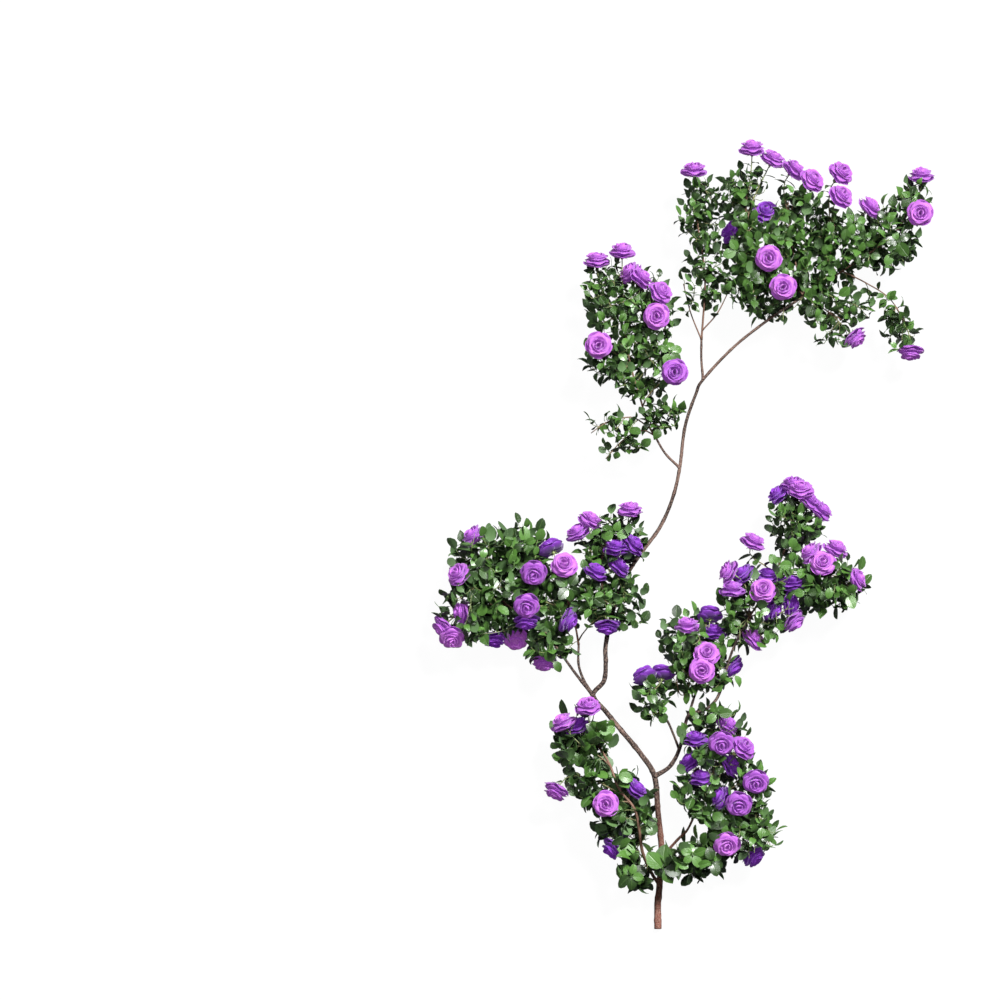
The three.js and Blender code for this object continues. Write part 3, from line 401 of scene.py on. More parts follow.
class Branch:
    """The centre line of a cane, stem or shoot, and how far along it each of its points is."""

    def __init__(self, path):
        self.path = path
        self.run = [0.0]
        for start, end in zip(path, path[1:]):
            self.run.append(self.run[-1] + (end - start).length)
        self.length = self.run[-1]

    def at(self, distance):
        """The point at a distance from the start, and the way that the line runs there."""
        distance = min(max(distance, 0), self.length * 0.9999)
        index = bisect.bisect_right(self.run, distance)
        start, end = self.path[index - 1], self.path[index]
        share = (distance - self.run[index - 1]) / (self.run[index] - self.run[index - 1])
        return start.lerp(end, share), (end - start).normalized()


def nearest_on(branches, target):
    """The branch that comes nearest to a target, how far along it that is, and how near it comes."""
    best = None
    for branch in branches:
        for point, run in zip(branch.path, branch.run):
            distance = (point - target).length_squared
            if best is None or distance < best[0]:
                best = (distance, branch, run)
    return best[1], best[2], math.sqrt(best[0])


def smooth_branch(plan, step, branches):
    """A smooth line through points of the plan, with a corner about every step.

    It starts on the nearest of the branches, if there are any."""
    points = [placed(point) for point in plan]
    if branches:
        branch, run = nearest_on(branches, points[0])[:2]
        points[0] = branch.at(run)[0]
    before, after = points[0] * 2 - points[1], points[-1] * 2 - points[-2]
    knots = [before, *points, after]
    path = []
    for index in range(1, len(knots) - 2):
        start, end = knots[index], knots[index + 1]
        leave = start + (end - knots[index - 1]) / 6
        arrive = end - (knots[index + 2] - start) / 6
        count = max(3, round((end - start).length / step) + 1)
        path += interpolate_bezier(start, leave, arrive, end, count)[:-1]
    return Branch([*path, points[-1]])


def new_shoot(branches, tip, facing, arrival, chance):
    """A shoot that forks forwards from the nearest branch and ends at its tip, pointing along facing."""
    branch, run, distance = nearest_on(branches, tip)
    start, tangent = branch.at(max(run - distance * chance.uniform(0.5, 1.0), branch.length * 0.04))
    reach = (tip - start).length
    away = ((tip - start).normalized() + tangent * 0.8).normalized()
    leaving = start + away * reach * 0.35
    arriving = tip - facing * reach * arrival
    arriving.z = max(arriving.z, 4 * MM)
    return Branch(interpolate_bezier(start, leaving, arriving, tip, SHOOT_POINTS))


def turned_along(path):
    """For each point of a path, how a ring round it is turned, with no twist from one to the next."""
    tangents = [(end - start).normalized() for start, end in zip(path, path[1:])]
    tangents.append(tangents[-1])
    turn = tangents[0].to_track_quat("Z", "Y")
    turns = []
    forwards = tangents[0]
    for tangent in tangents:
        turn = forwards.rotation_difference(tangent) @ turn
        forwards = tangent
        turns.append(turn)
    return turns


# Building by stamping small shapes into large ones

scratch = bpy.data.meshes.new("scratch")


def new_shape(*layers):
    """An empty shape whose corners carry the named numbers."""
    shape = bmesh.new()
    shape.loops.layers.uv.new("UVMap")
    for layer in layers:
        shape.verts.layers.float.new(layer)
    return shape


def new_wood():
    """An empty shape of wood. Its corners carry a grain that runs along it, and how young it is."""
    wood = new_shape("young")
    wood.verts.layers.float_vector.new("grain")
    return wood


def mesh_of(shape, name):
    mesh = bpy.data.meshes.new(name)
    shape.to_mesh(mesh)
    shape.free()
    return mesh


def merge(shape, part):
    """Moves a small shape into a large one."""
    part.to_mesh(scratch)
    part.free()
    shape.from_mesh(scratch)


def stamp(shape, template, place):
    """Adds a copy of a finished small mesh to a shape."""
    copy = template.copy()
    copy.transform(place)
    shape.from_mesh(copy)
    bpy.data.meshes.remove(copy)


def placing(origin, along, upper, scale=1.0):
    """Puts a template's Y along one way and its Z as near as it can to another."""
    along = along.normalized()
    across = along.cross(upper).normalized()
    turn = Matrix((across, along, across.cross(along))).transposed()
    return Matrix.Translation(origin) @ (turn * scale).to_4x4()


def uprights(drum):
    """The edges of a new drum that run from one end to the other."""
    return [edge for edge in drum.edges if abs(edge.verts[0].co.z - edge.verts[1].co.z) > 0.5]


def face_outwards(shape):
    if shape.calc_volume(signed=True) < 0:
        bmesh.ops.reverse_faces(shape, faces=shape.faces[:])


def add_tube(wood, path, widths, sides, youth):
    """Adds a closed tube: a drum cut into rings, each moved to its place on the path."""
    part = new_wood()
    grain, young = part.verts.layers.float_vector["grain"], part.verts.layers.float["young"]
    steps = len(path) - 1
    bmesh.ops.create_cone(part, cap_ends=True, cap_tris=True, segments=sides, radius1=1, radius2=1, depth=1)
    if steps > 1:
        bmesh.ops.subdivide_edges(part, edges=uprights(part), cuts=steps - 1)
    turns = turned_along(path)
    runs = Branch(path).run
    for corner in part.verts:
        ring = round((corner.co.z + 0.5) * steps)
        x, y = corner.co.x, corner.co.y
        width = widths(ring / steps, runs[ring], x, y)
        corner[grain] = Vector((x * width, y * width, runs[ring]))
        corner[young] = youth[0] + (youth[1] - youth[0]) * ring / steps
        corner.co = path[ring] + turns[ring] @ Vector((x * width, y * width, 0))
        corner.co.z = max(corner.co.z, 0)
    for face in part.faces:
        face.smooth = len(face.verts) == 4
    merge(wood, part)


def taper(start, end):
    """The width of a thin stem, even along its length, with a collar where it leaves the wood."""
    return lambda share, run, x, y: start + (end - start) * share + 0.35 * start * math.exp(-run / (4 * MM))


# Small shapes that are repeated: leaves, roses and calyxes

# The outline of a leaf from its stalk to its tip: share of the length, share of the half width.
ROUND_LEAF = [(-0.18, 0.04), (0, 0.05), (0.12, 0.6), (0.36, 0.97), (0.64, 0.94), (0.88, 0.52), (1, 0)]
POINTED_LEAF = [(-0.18, 0.04), (0, 0.05), (0.14, 0.66), (0.38, 1), (0.64, 0.72), (0.86, 0.3), (1, 0)]
# Each shape of leaf: its outline, length and width, how far it arches back, how far it is folded along
# the midrib, and how far it is twisted. The first two are round and the others are pointed.
LEAF_SHAPES = [
    (ROUND_LEAF, 40 * MM, 31 * MM, 0.5, 0.15, 0.1), (ROUND_LEAF, 36 * MM, 27 * MM, 0.9, 0.2, -0.15),
    (POINTED_LEAF, 44 * MM, 25 * MM, 1.7, 0.2, 0.2), (POINTED_LEAF, 40 * MM, 29 * MM, 0.8, 0.25, 0.0),
]
# How far leaves reach from their root, in millimetres.
LEAF_REACH = [(0, 0, 0), (0, 39, -9), (0, 27, -26), (16, 20, -4), (-16, 20, -4)]
# Corners nearer than this are one.
SAME_CORNER = 0.1 * MM


def leaf_template(name, tone, outline, length, width, bend, fold, twist):
    """A broad leaf, creased along its midrib and arched back, thin and closed."""
    blade = new_shape("upper", "tone")
    upper, toned = (blade.verts.layers.float[layer] for layer in ("upper", "tone"))
    rows = len(outline) - 1
    bmesh.ops.create_grid(blade, x_segments=2, y_segments=rows, size=1, calc_uvs=True)
    for corner in blade.verts:
        reach, half = outline[round((corner.co.y + 1) / 2 * rows)]
        side = corner.co.x * half * width / 2
        out = max(reach, 0)
        forwards = length * (math.sin(bend * out) / bend + min(reach, 0))
        down = length * (1 - math.cos(bend * out)) / bend
        rise = abs(side) * fold - abs(side) ** 2 / width * fold * 1.2
        corner.co = Vector((side, forwards, rise - down + side * twist * out))
        corner[upper] = 1
        corner[toned] = tone
    bmesh.ops.remove_doubles(blade, verts=blade.verts, dist=SAME_CORNER)
    thicken(blade, LEAF_THICKNESS)
    for edge in blade.edges:
        edge.smooth = max(abs(corner.co.x) for corner in edge.verts) > SAME_CORNER
    return mesh_of(blade, name)


def thicken(sheet, thickness):
    """Gives a sheet its thickness, with a crisp rim. The corners of the lower face stop being upper ones."""
    upper = sheet.verts.layers.float["upper"]
    for item in bmesh.ops.solidify(sheet, geom=sheet.faces[:], thickness=thickness)["geom"]:
        if isinstance(item, bmesh.types.BMVert):
            item[upper] = 0
    face_outwards(sheet)
    for face in sheet.faces:
        face.smooth = len({corner[upper] for corner in face.verts}) == 1


# The rings of petals of a rose from the outside in, in millimetres: how many petals, how near the ring
# is to the heart, how wide each petal is, how far its sides roll outwards, and four points that its
# middle follows from root to tip, each a distance from the axis and a height. The first ring is a
# shallow bowl, the second falls over its rim, the next two open and the last two close round the heart.
PETAL_RINGS = [
    (5, 0.0, 54, 3.0, [(2, 1), (20, -1), (33, 3), (38, 13)]),
    (5, 0.2, 48, 3.0, [(2, 1), (17, 8), (20, 27), (36, 15)]),
    (4, 0.4, 54, 3.0, [(2, 2), (18, 8), (14, 29), (31, 29)]),
    (4, 0.6, 50, 2.5, [(2, 2), (18, 10), (20, 29), (26, 32)]),
    (3, 0.8, 44, 1.5, [(1.5, 3), (15, 16), (19, 34), (16, 37)]),
    (2, 1.0, 30, 1.0, [(1.5, 4), (9, 20), (13, 37), (6, 40)]),
]
# The outline of a petal from root to rim: share of its line, share of its half width. Its rim is bowed
# back on both sides of the middle.
PETAL_OUTLINE = [(0, 0.16), (0.28, 0.58), (0.56, 0.93), (0.82, 1.0), (1, 0.6)]
RIM_BOW = 0.15
PETAL_COLUMNS = 6
NARROW_COLUMNS = 4
NARROW_WIDTH = 40
# No petal is wrapped round the axis more tightly than this radius, in millimetres.
HEART_RADIUS = 4.5
ROSE_SHAPES = 6
# What the corners of a petal carry: 1 on the upper face, the share of the way to the rim, how near its
# ring is to the heart, and how deep the violet is, partly painted shade.
PETAL_LAYERS = ("upper", "reach", "layer", "depth_and_shade")


def add_petal(rose, angle, depth_and_shade, chance, heart, width, roll, line):
    """One petal, wrapped round the axis of the rose, its edges rolled out towards a point."""
    petal = new_shape(*PETAL_LAYERS)
    upper, reached, layered, depth_and_shade_layer = (petal.verts.layers.float[layer] for layer in PETAL_LAYERS)
    rows = len(PETAL_OUTLINE) - 1
    line = [Vector((radius * chance.uniform(0.95, 1.03), height * chance.uniform(0.94, 1.03), 0))
            for radius, height in line]
    columns = PETAL_COLUMNS if width > NARROW_WIDTH else NARROW_COLUMNS
    bmesh.ops.create_grid(petal, x_segments=columns, y_segments=rows, size=1, calc_uvs=True)
    flare = roll * chance.uniform(0.6, 1.4)
    lift = chance.uniform(-3.5, 3.0) * (1 - 0.5 * heart)
    twist = chance.uniform(-4, 4) * (1 - 0.6 * heart)
    for corner in petal.verts:
        share, half = PETAL_OUTLINE[round((corner.co.y + 1) / 2 * rows)]
        across = corner.co.x
        reach = share * (1 - RIM_BOW * across ** 2)
        middle = bezier_at(line, reach)
        radius = middle.x + flare * across ** 2 * reach ** 3 + 1.2 * across * min(1, reach * 2)
        height = middle.y + (lift + twist * across - 0.4 * flare * abs(across) ** 3) * reach ** 3
        turn = angle + across * half * width / 2 / max(middle.x, HEART_RADIUS)
        corner.co = Vector((radius * math.cos(turn), radius * math.sin(turn), max(height, 0))) * MM
        corner[upper] = 1
        corner[reached] = share
        corner[layered] = heart
        corner[depth_and_shade_layer] = depth_and_shade
    bmesh.ops.remove_doubles(petal, verts=petal.verts, dist=SAME_CORNER)
    thicken(petal, PETAL_THICKNESS)
    merge(rose, petal)


def bezier_at(points, share):
    a, b, c, d = points
    rest = 1 - share
    return a * rest ** 3 + b * 3 * rest ** 2 * share + c * 3 * rest * share ** 2 + d * share ** 3


def rose_template(depth_and_shade, seed):
    """A double rose that looks along Z, with its root at the origin."""
    chance = random.Random(seed)
    rose = new_shape(*PETAL_LAYERS)
    start = chance.uniform(0, math.tau)
    for count, *petal in PETAL_RINGS:
        start += math.pi / count + chance.uniform(-0.12, 0.12)
        for index in range(count):
            jitter = chance.uniform(-0.08, 0.08)
            add_petal(rose, start + index * math.tau / count + jitter, depth_and_shade, chance, *petal)
    return mesh_of(rose, f"rose_{seed}")


# The green hip under a rose, in millimetres, and its sepals.
HIP_RADII = (4.6, 4.6, 5.5)
HIP_DROP = 2
SEPALS = 5


def calyx_template():
    """The green hip under a rose and its narrow sepals."""
    calyx = new_wood()
    grain, young = calyx.verts.layers.float_vector["grain"], calyx.verts.layers.float["young"]
    bmesh.ops.create_uvsphere(calyx, u_segments=8, v_segments=6, radius=1)
    bmesh.ops.scale(calyx, vec=Vector(HIP_RADII) * MM, verts=calyx.verts)
    bmesh.ops.translate(calyx, vec=Vector((0, 0, -HIP_DROP * MM)), verts=calyx.verts)
    for index in range(SEPALS):
        sepal = new_shape("young")
        bmesh.ops.create_cone(sepal, cap_ends=True, segments=4, radius1=1, radius2=0.05, depth=1)
        bmesh.ops.subdivide_edges(sepal, edges=uprights(sepal), cuts=2)
        for corner in sepal.verts:
            share = corner.co.z + 0.5
            x, y = corner.co.x, corner.co.y
            out = 3 + 15 * share
            corner.co = Vector((out, x * 3.2, -1.5 - 5 * share ** 2 + y * 0.5)) * MM
        turn = Matrix.Rotation(index * math.tau / SEPALS, 3, "Z")
        bmesh.ops.rotate(sepal, verts=sepal.verts, cent=Vector(), matrix=turn)
        face_outwards(sepal)
        merge(calyx, sepal)
    for corner in calyx.verts:
        corner[young] = 0.9
        corner[grain] = corner.co
    for face in calyx.faces:
        face.smooth = True
    return mesh_of(calyx, "calyx")


# Materials

class Nodes:
    """The nodes of a material or of a shared effect, and short ways to add to them."""

    def __init__(self, tree):
        self.tree = tree

    def connect(self, target, value):
        """Links an output to an input, or sets the input to a plain value."""
        if isinstance(value, bpy.types.NodeSocket):
            self.tree.links.new(value, target)
        else:
            target.default_value = value

    def put(self, kind, *values, **settings):
        """Adds a node, sets its options and fills its inputs in order."""
        made = self.tree.nodes.new("ShaderNode" + kind)
        for name, value in settings.items():
            setattr(made, name, value)
        for socket, value in zip([socket for socket in made.inputs if socket.enabled], values):
            self.connect(socket, value)
        return made

    def result(self, kind, *values, **settings):
        """Adds a node and gives what it works out."""
        return next(socket for socket in self.put(kind, *values, **settings).outputs if socket.enabled)

    def math(self, operation, *values):
        return self.result("Math", *values, operation=operation)

    def weighted(self, *pairs):
        """The sum of some values, each times its weight."""
        total = 0.0
        for value, weight in pairs:
            total = self.math("MULTIPLY_ADD", value, weight, total)
        return total

    def ranged(self, value, low, high, to_low=0.0, to_high=1.0):
        """A value moved from one range to another and kept inside it."""
        return self.result("MapRange", value, low, high, to_low, to_high)

    def blended(self, share, first, second):
        return self.result("Mix", share, first, second, data_type="RGBA")

    def noisy(self, place, scale, detail, roughness):
        return self.put("TexNoise", place, scale, detail, roughness).outputs["Fac"]

    def attribute(self, name, output="Fac"):
        return self.put("Attribute", attribute_name=name).outputs[output]

    def parts(self, vector):
        return self.put("SeparateXYZ", vector).outputs

    def use(self, group, *values):
        """Places a shared effect."""
        made = self.tree.nodes.new("ShaderNodeGroup")
        made.node_tree = group
        for socket, value in zip(made.inputs, values):
            self.connect(socket, value)
        return made.outputs[0]


class Paint(Nodes):
    """A material with a bare Principled shader, and the place that its patterns read."""

    def __init__(self, name):
        self.material = bpy.data.materials.new(name)
        self.material.use_nodes = True
        super().__init__(self.material.node_tree)
        self.place = self.put("TexCoord").outputs["Object"]

    def on_sheet(self):
        """How far across and how far along its own leaf or petal a point is."""
        return self.parts(self.result("UVMap", uv_map="UVMap"))

    def look(self, looks):
        """Sets inputs of the shader by their names."""
        for name, value in looks.items():
            self.connect(self.tree.nodes["Principled BSDF"].inputs[name], value)
        return self.material

    def raised(self, looks, height, depth):
        """Sets the shader, and raises its surface by as much as the depth where the height is 1."""
        bump = self.put("Bump")
        bump.inputs["Distance"].default_value = depth
        self.connect(bump.inputs["Height"], height)
        return self.look({**looks, "Normal": bump.outputs["Normal"]})


def effect(name, place, numbers, output):
    """A shared effect that makes one number of a place and some numbers.

    It gives the group, its nodes, what the effect is given and the socket that it fills."""
    group = bpy.data.node_groups.new(name, "ShaderNodeTree")
    sockets = group.interface
    sockets.new_socket(name=place, in_out="INPUT", socket_type="NodeSocketVector")
    for label, value in numbers.items():
        sockets.new_socket(name=label, in_out="INPUT", socket_type="NodeSocketFloat").default_value = value
    sockets.new_socket(name=output, in_out="OUTPUT", socket_type="NodeSocketFloat")
    given, made = group.nodes.new("NodeGroupInput"), group.nodes.new("NodeGroupOutput")
    return group, Nodes(group), given.outputs, made.inputs[0]


def patches_effect():
    """Soft patches from 0 to 1, of a given size and sharpness."""
    group, nodes, given, made = effect("patches", "Place", {"Scale": 20.0, "Softness": 0.15}, "Share")
    clouds = nodes.noisy(given["Place"], given["Scale"], 3.0, 0.55)
    low, high = (nodes.math(operation, 0.5, given["Softness"]) for operation in ("SUBTRACT", "ADD"))
    nodes.connect(made, nodes.ranged(clouds, low, high))
    return group


def fibres_effect():
    """Streaks along the grain from 0 to 1, and as fine as the scale says."""
    group, nodes, given, made = effect("fibres", "Grain", {"Scale": 900.0, "Stretch": 0.08}, "Streaks")
    parts = nodes.parts(given["Grain"])
    along = nodes.math("MULTIPLY", parts["Z"], given["Stretch"])
    drawn = nodes.result("CombineXYZ", parts["X"], parts["Y"], along)
    nodes.connect(made, nodes.noisy(drawn, given["Scale"], 4.0, 0.6))
    return group


patches = patches_effect()
fibres = fibres_effect()


def bark_material():
    """Bark with streaks along the grain: red-brown at the foot, black and grey in patches higher up."""
    paint = Paint("rose_bark")
    grain = paint.attribute("grain", "Vector")
    streaks = paint.use(fibres, grain, 700.0, 0.07)
    scars = paint.use(patches, grain, 190.0, 0.03)
    up = paint.parts(paint.place)["Y"]
    low = paint.ranged(up, -0.4, 0.0, 0.36, 0.46)
    worn = paint.ranged(paint.use(fibres, grain, 70.0, 0.12), low, paint.math("ADD", low, 0.08))
    lines = paint.ranged(streaks, 0.3, 0.7)
    red = paint.blended(lines, tint(100, 54, 44), tint(160, 104, 88))
    grey = paint.blended(lines, tint(82, 60, 54), tint(144, 116, 104))
    black = paint.blended(lines, tint(26, 19, 17), tint(66, 50, 46))
    wood = paint.blended(paint.ranged(up, -0.87, -0.7), red, paint.blended(worn, grey, black))
    wood = paint.blended(paint.math("MULTIPLY", scars, 0.25), wood, tint(186, 158, 140))
    looks = {"Base Color": wood, "Roughness": paint.ranged(streaks, 0.3, 0.7, 0.86, 0.62)}
    return paint.raised(looks, paint.math("ADD", streaks, scars), 0.0012)


def end_grain_material():
    """The cut foot: pale wood with yearly rings and a dark pith."""
    paint = Paint("cut_wood")
    parts = paint.parts(paint.attribute("grain", "Vector"))
    across = paint.result("CombineXYZ", parts["X"], parts["Y"])
    out = paint.result("VectorMath", across, operation="LENGTH")
    rough = paint.use(fibres, paint.place, 900.0, 1.0)
    wave = paint.math("SINE", paint.weighted((rough, 1.0), (out, 3600.0)))
    wood = paint.blended(paint.ranged(wave, -1.0, 1.0), tint(196, 160, 118), tint(226, 198, 156))
    wood = paint.blended(paint.ranged(out, 0.002, 0.001), wood, tint(120, 84, 56))
    return paint.raised({"Base Color": wood, "Roughness": 0.8}, paint.math("ADD", wave, rough), 0.0003)


def shoot_material():
    """Green wood: red-brown and ridged where it is old, smooth pale green at the tips."""
    paint = Paint("young_shoot")
    streaks = paint.use(fibres, paint.attribute("grain", "Vector"), 1400.0, 0.05)
    uneven = paint.math("SUBTRACT", paint.use(patches, paint.place, 30.0, 0.25), 0.5)
    age = paint.weighted((paint.attribute("young"), 1.0), (uneven, 0.35))
    green = paint.blended(streaks, tint(108, 126, 68), tint(164, 178, 118))
    brown = paint.blended(streaks, tint(88, 62, 52), tint(158, 120, 100))
    looks = {"Base Color": paint.blended(paint.ranged(age, 0.3, 0.75), brown, green),
             "Roughness": paint.ranged(age, 0.2, 0.8, 0.7, 0.42)}
    return paint.raised(looks, streaks, 0.0003)


def leaf_material():
    """Glossy leaves: dark to fresh green from leaf to leaf, the dark partly painted shade on lower and inner
    leaves, a pale midrib, side veins, a dull underside.
    """
    paint = Paint("rose_leaf")
    upper = paint.attribute("upper")
    sheet = paint.on_sheet()
    aside = paint.math("ABSOLUTE", paint.math("SUBTRACT", sheet["X"], 0.5))
    slant = paint.weighted((sheet["Y"], 50.0), (aside, -34.0))
    veins = paint.ranged(paint.math("SINE", slant), 0.8, 1.0)
    lines = paint.math("MAXIMUM", paint.ranged(aside, 0.035, 0.01), paint.math("MULTIPLY", veins, 0.35))
    uneven = paint.use(patches, paint.place, 26.0, 0.3)
    tone_and_shade = paint.weighted((paint.attribute("tone"), 0.75), (uneven, 0.25))
    # Dark to fresh green; the darkest tones are partly painted shade.
    green = paint.blended(tone_and_shade, tint(3, 13, 5), tint(94, 142, 60))
    green = paint.blended(paint.math("MULTIPLY", lines, 0.4), green, tint(120, 160, 84))
    green = paint.blended(paint.ranged(upper, 0.6, 0.3, 0.0, 0.6), green, tint(84, 116, 70))
    looks = {"Base Color": green, "Roughness": paint.ranged(upper, 0.3, 0.6, 0.6, 0.38),
             "Specular IOR Level": 1.0}
    return paint.raised(looks, paint.math("MULTIPLY", lines, -1.0), 0.0005)


def petal_material():
    """Violet petals with fine veins. They are darker at the roots and paler towards the rims, partly their
    own colour and partly painted shade on the hidden roots, and paler near the heart, a painted light that
    lifts the shade there. Some roses are deeper, partly their own colour and partly painted shade.

    They glow a little in their own colour, a painted light that lifts their shade, in place of the light that
    comes through real petals."""
    paint = Paint("rose_petal")
    layer = paint.attribute("layer")
    sheet = paint.on_sheet()
    ribs = paint.result("CombineXYZ", paint.math("MULTIPLY", sheet["X"], 22.0), sheet["Y"], layer)
    veins = paint.noisy(ribs, 1.0, 3.0, 0.6)
    uneven = paint.use(patches, paint.place, 22.0, 0.3)
    # How pale the violet is: deeper at the petal's root, partly its own colour and partly painted shade, and
    # paler near the heart, a painted light that lifts the shade there.
    paleness_and_painted_light = paint.weighted((paint.attribute("reach"), 0.62), (veins, 0.28), (uneven, 0.16), (layer, 0.42))
    paleness_and_painted_light = paint.ranged(paleness_and_painted_light, 0.3, 1.1)
    light_rose = paint.blended(paleness_and_painted_light, tint(142, 60, 174), tint(188, 108, 202))
    deep_violet_and_shade = paint.blended(paleness_and_painted_light, tint(70, 20, 110), tint(130, 52, 178))
    # Deeper violet, partly the rose's own colour and partly painted shade.
    violet = paint.blended(paint.attribute("depth_and_shade"), light_rose, deep_violet_and_shade)
    # The petals glow a little in their own colour: a painted light that lifts their shade.
    looks = {"Base Color": violet, "Emission Color": violet, "Emission Strength": 0.22,
             "Roughness": paint.ranged(veins, 0.3, 0.7, 0.6, 0.45), "Sheen Weight": 0.3}
    return paint.raised(looks, veins, 0.0004)


bark = bark_material()
end_grain = end_grain_material()
green_wood = shoot_material()
leaf_green = leaf_material()
petal_violet = petal_material()


def new_object(name, data):
    made = bpy.data.objects.new(name, data)
    bpy.context.scene.collection.objects.link(made)
    return made


def finished(name, shape, finish, node):
    """Makes a piece of a shape. It stands for a solid and moves with the plant's one body."""
    mesh = mesh_of(shape, name)
    for material in finish:
        mesh.materials.append(material)
    piece = new_object(name, mesh)
    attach(piece, "root")
    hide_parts(node)


# Growing the plant

def cane_width(start, end, seed):
    """The width of a cane: a flare where it starts, knots, and a surface that is never quite even."""
    def width(share, run, x, y):
        radius = start + (end - start) * share ** 0.5
        radius *= 1 + 0.3 * math.exp(-run / (9 * MM)) * (seed > 0)
        knot = abs((run / KNOT_SPACING + 0.37 * seed + 0.2 * math.sin(run * 31)) % 1 - 0.5)
        radius *= 1 + 0.13 * math.exp(-(knot * 14) ** 2)
        bumps = noise.noise(Vector((x * 1.3 + seed, y * 1.3, run * 60)))
        fine = noise.noise(Vector((x * 4, y * 4 + seed, run * 150)))
        rim = 0.93 if run == 0 and seed == 0 else 1.0
        return radius * rim * (1 + 0.09 * bumps + 0.03 * fine) * MM
    return width


def grow_canes():
    wood = new_wood()
    grown = []
    for index, (points, radii) in enumerate(CANES):
        cane = smooth_branch(points, CANE_STEP, grown)
        add_tube(wood, cane.path, cane_width(*radii, index), CANE_SIDES, (0, 0.1))
        grown.append(cane)
    foot = min(corner.co.y for corner in wood.verts)
    for face in wood.faces:
        if face.calc_center_median().y < foot + 0.5 * MM and face.normal.y < -0.9:
            face.material_index = 1
    finished("woody_canes", wood, [bark, end_grain], "canes")


def clump_tips(clump, fullness, forward_share, chance):
    """The tips of the leafy shoots of a clump, and the way each points: outwards and up the plant."""
    x, y, z, across, along, depth, *share = clump
    count = round(math.pi * across * along / SHOOT_AREA * fullness * (share[0] if share else 1))
    tips = []
    for index in range(count):
        out = math.sqrt((index + 0.6) / count)
        turn = index * GOLDEN_ANGLE + x
        height = chance.uniform(-1, 1) * math.sqrt(1 - 0.75 * out * out)
        outward = Vector((out * math.cos(turn), out * math.sin(turn), height))
        tip = placed((x + outward.x * across, y + outward.y * along, z + outward.z * depth))
        aside = sway(0.3, chance)
        forwards = 1.2 if height > 0 and chance.random() < forward_share else height * 0.35
        facing = Vector((outward.x * 0.6, outward.y * 0.4 + 1, forwards))
        tips.append((tip, (facing + aside).normalized()))
    return tips


def is_inside(corner):
    """Whether a corner is off the floor, and no further past the solids' box than its margin."""
    low, high = solid_box
    return corner.z > FLOOR_GAP and all(
        low[axis] - BOX_MARGIN < corner[axis] < high[axis] + BOX_MARGIN for axis in range(3))


def is_in_the_way(place):
    """Whether a leaf is in a bloom, over it, before the face of a frontal one, or over a shown stem."""
    middle = place @ Vector((0, LEAF_MIDDLE, 0))
    for start, end in shown_stems:
        nearest, share = intersect_point_line(middle.xy, start.xy, end.xy)
        is_above = 0 <= share <= 1 and middle.z > start.z - STEM_DEPTH
        if is_above and (middle.xy - nearest.xy).length < STEM_GAP:
            return True
    for centre, facing in faces:
        away = middle - centre
        ahead = away.dot(facing)
        if away.length < BLOOM_GAP or away.z > 0 and away.xy.length < ABOVE_BLOOM_GAP:
            return True
        if facing.z > FRONTAL and 0 < ahead < FACE_DEPTH and (away - facing * ahead).length < FACE_GAP:
            return True
    return False


def add_leaf(foliage, tone, spray, place, chance):
    """Adds a leaf of a tone, round or pointed as its spray has them, if there is room for it."""
    template = leaves[tone][chance.randrange(2) + (0 if chance.random() < spray["round_share"] else 2)]
    if all(is_inside(place @ corner) for corner in leaf_reach) and not is_in_the_way(place):
        stamp(foliage, template, place)


def add_rosette(foliage, centre, size, spray, chance):
    """A ring of large leaves, most of them fresh, that opens to the front round the end of a shoot."""
    start = chance.uniform(0, math.tau)
    for index in range(ROSETTE_LEAVES):
        turn = start + index * math.tau / ROSETTE_LEAVES + chance.uniform(-0.4, 0.4)
        along = Vector((math.cos(turn), math.sin(turn), chance.uniform(-0.2, 0.6)))
        upper = WAYS["F"] + sway(0.5, chance)
        place = placing(centre + along * 5 * MM, along, upper, size * chance.uniform(0.75, 1.1))
        add_leaf(foliage, chance.choice((0, 1, 2, 2)), spray, place, chance)


def grow_leaves(foliage, shoot, leafy, spray, chance):
    """Leaves down a shoot in a spiral, each leaning out from it with its upper face to the tip."""
    turn = chance.uniform(0, math.tau)
    light = WAYS["U"] * (0.1 if shoot.at(shoot.length)[1].z > FRONTAL else 1.0)
    from_tip, last = leafy
    while from_tip < min(last, shoot.length * 0.85):
        point, tangent = shoot.at(shoot.length - from_tip)
        side = tangent.orthogonal().normalized()
        side.rotate(Matrix.Rotation(turn, 3, tangent))
        is_last_leaf = from_tip == 0
        lean = 0.35 if is_last_leaf else chance.uniform(0.95, 1.4)
        along = tangent * math.cos(lean) + side * math.sin(lean)
        upper = (side if is_last_leaf else tangent * 0.6 + light) + sway(0.25, chance)
        scale = spray["leaf_size"] * chance.uniform(0.7, 1.1)
        # Lower leaves and inner ones take darker tones: partly older leaves, partly painted shade.
        height = (point.z - MIDDLE_Z) / LEAFY_DEPTH
        freshness_and_shade = chance.random() + (height + (TIP_FRESHNESS if from_tip < TIP_LENGTH else INNER_AGE_AND_SHADE))
        tone = bisect.bisect_right(TONE_LIMITS, freshness_and_shade)
        add_leaf(foliage, tone, spray, placing(point + along * 2 * MM, along, upper, scale), chance)
        from_tip += LEAF_SPACING * chance.uniform(0.8, 1.25)
        turn += math.tau * 0.4 + chance.uniform(-0.3, 0.3)


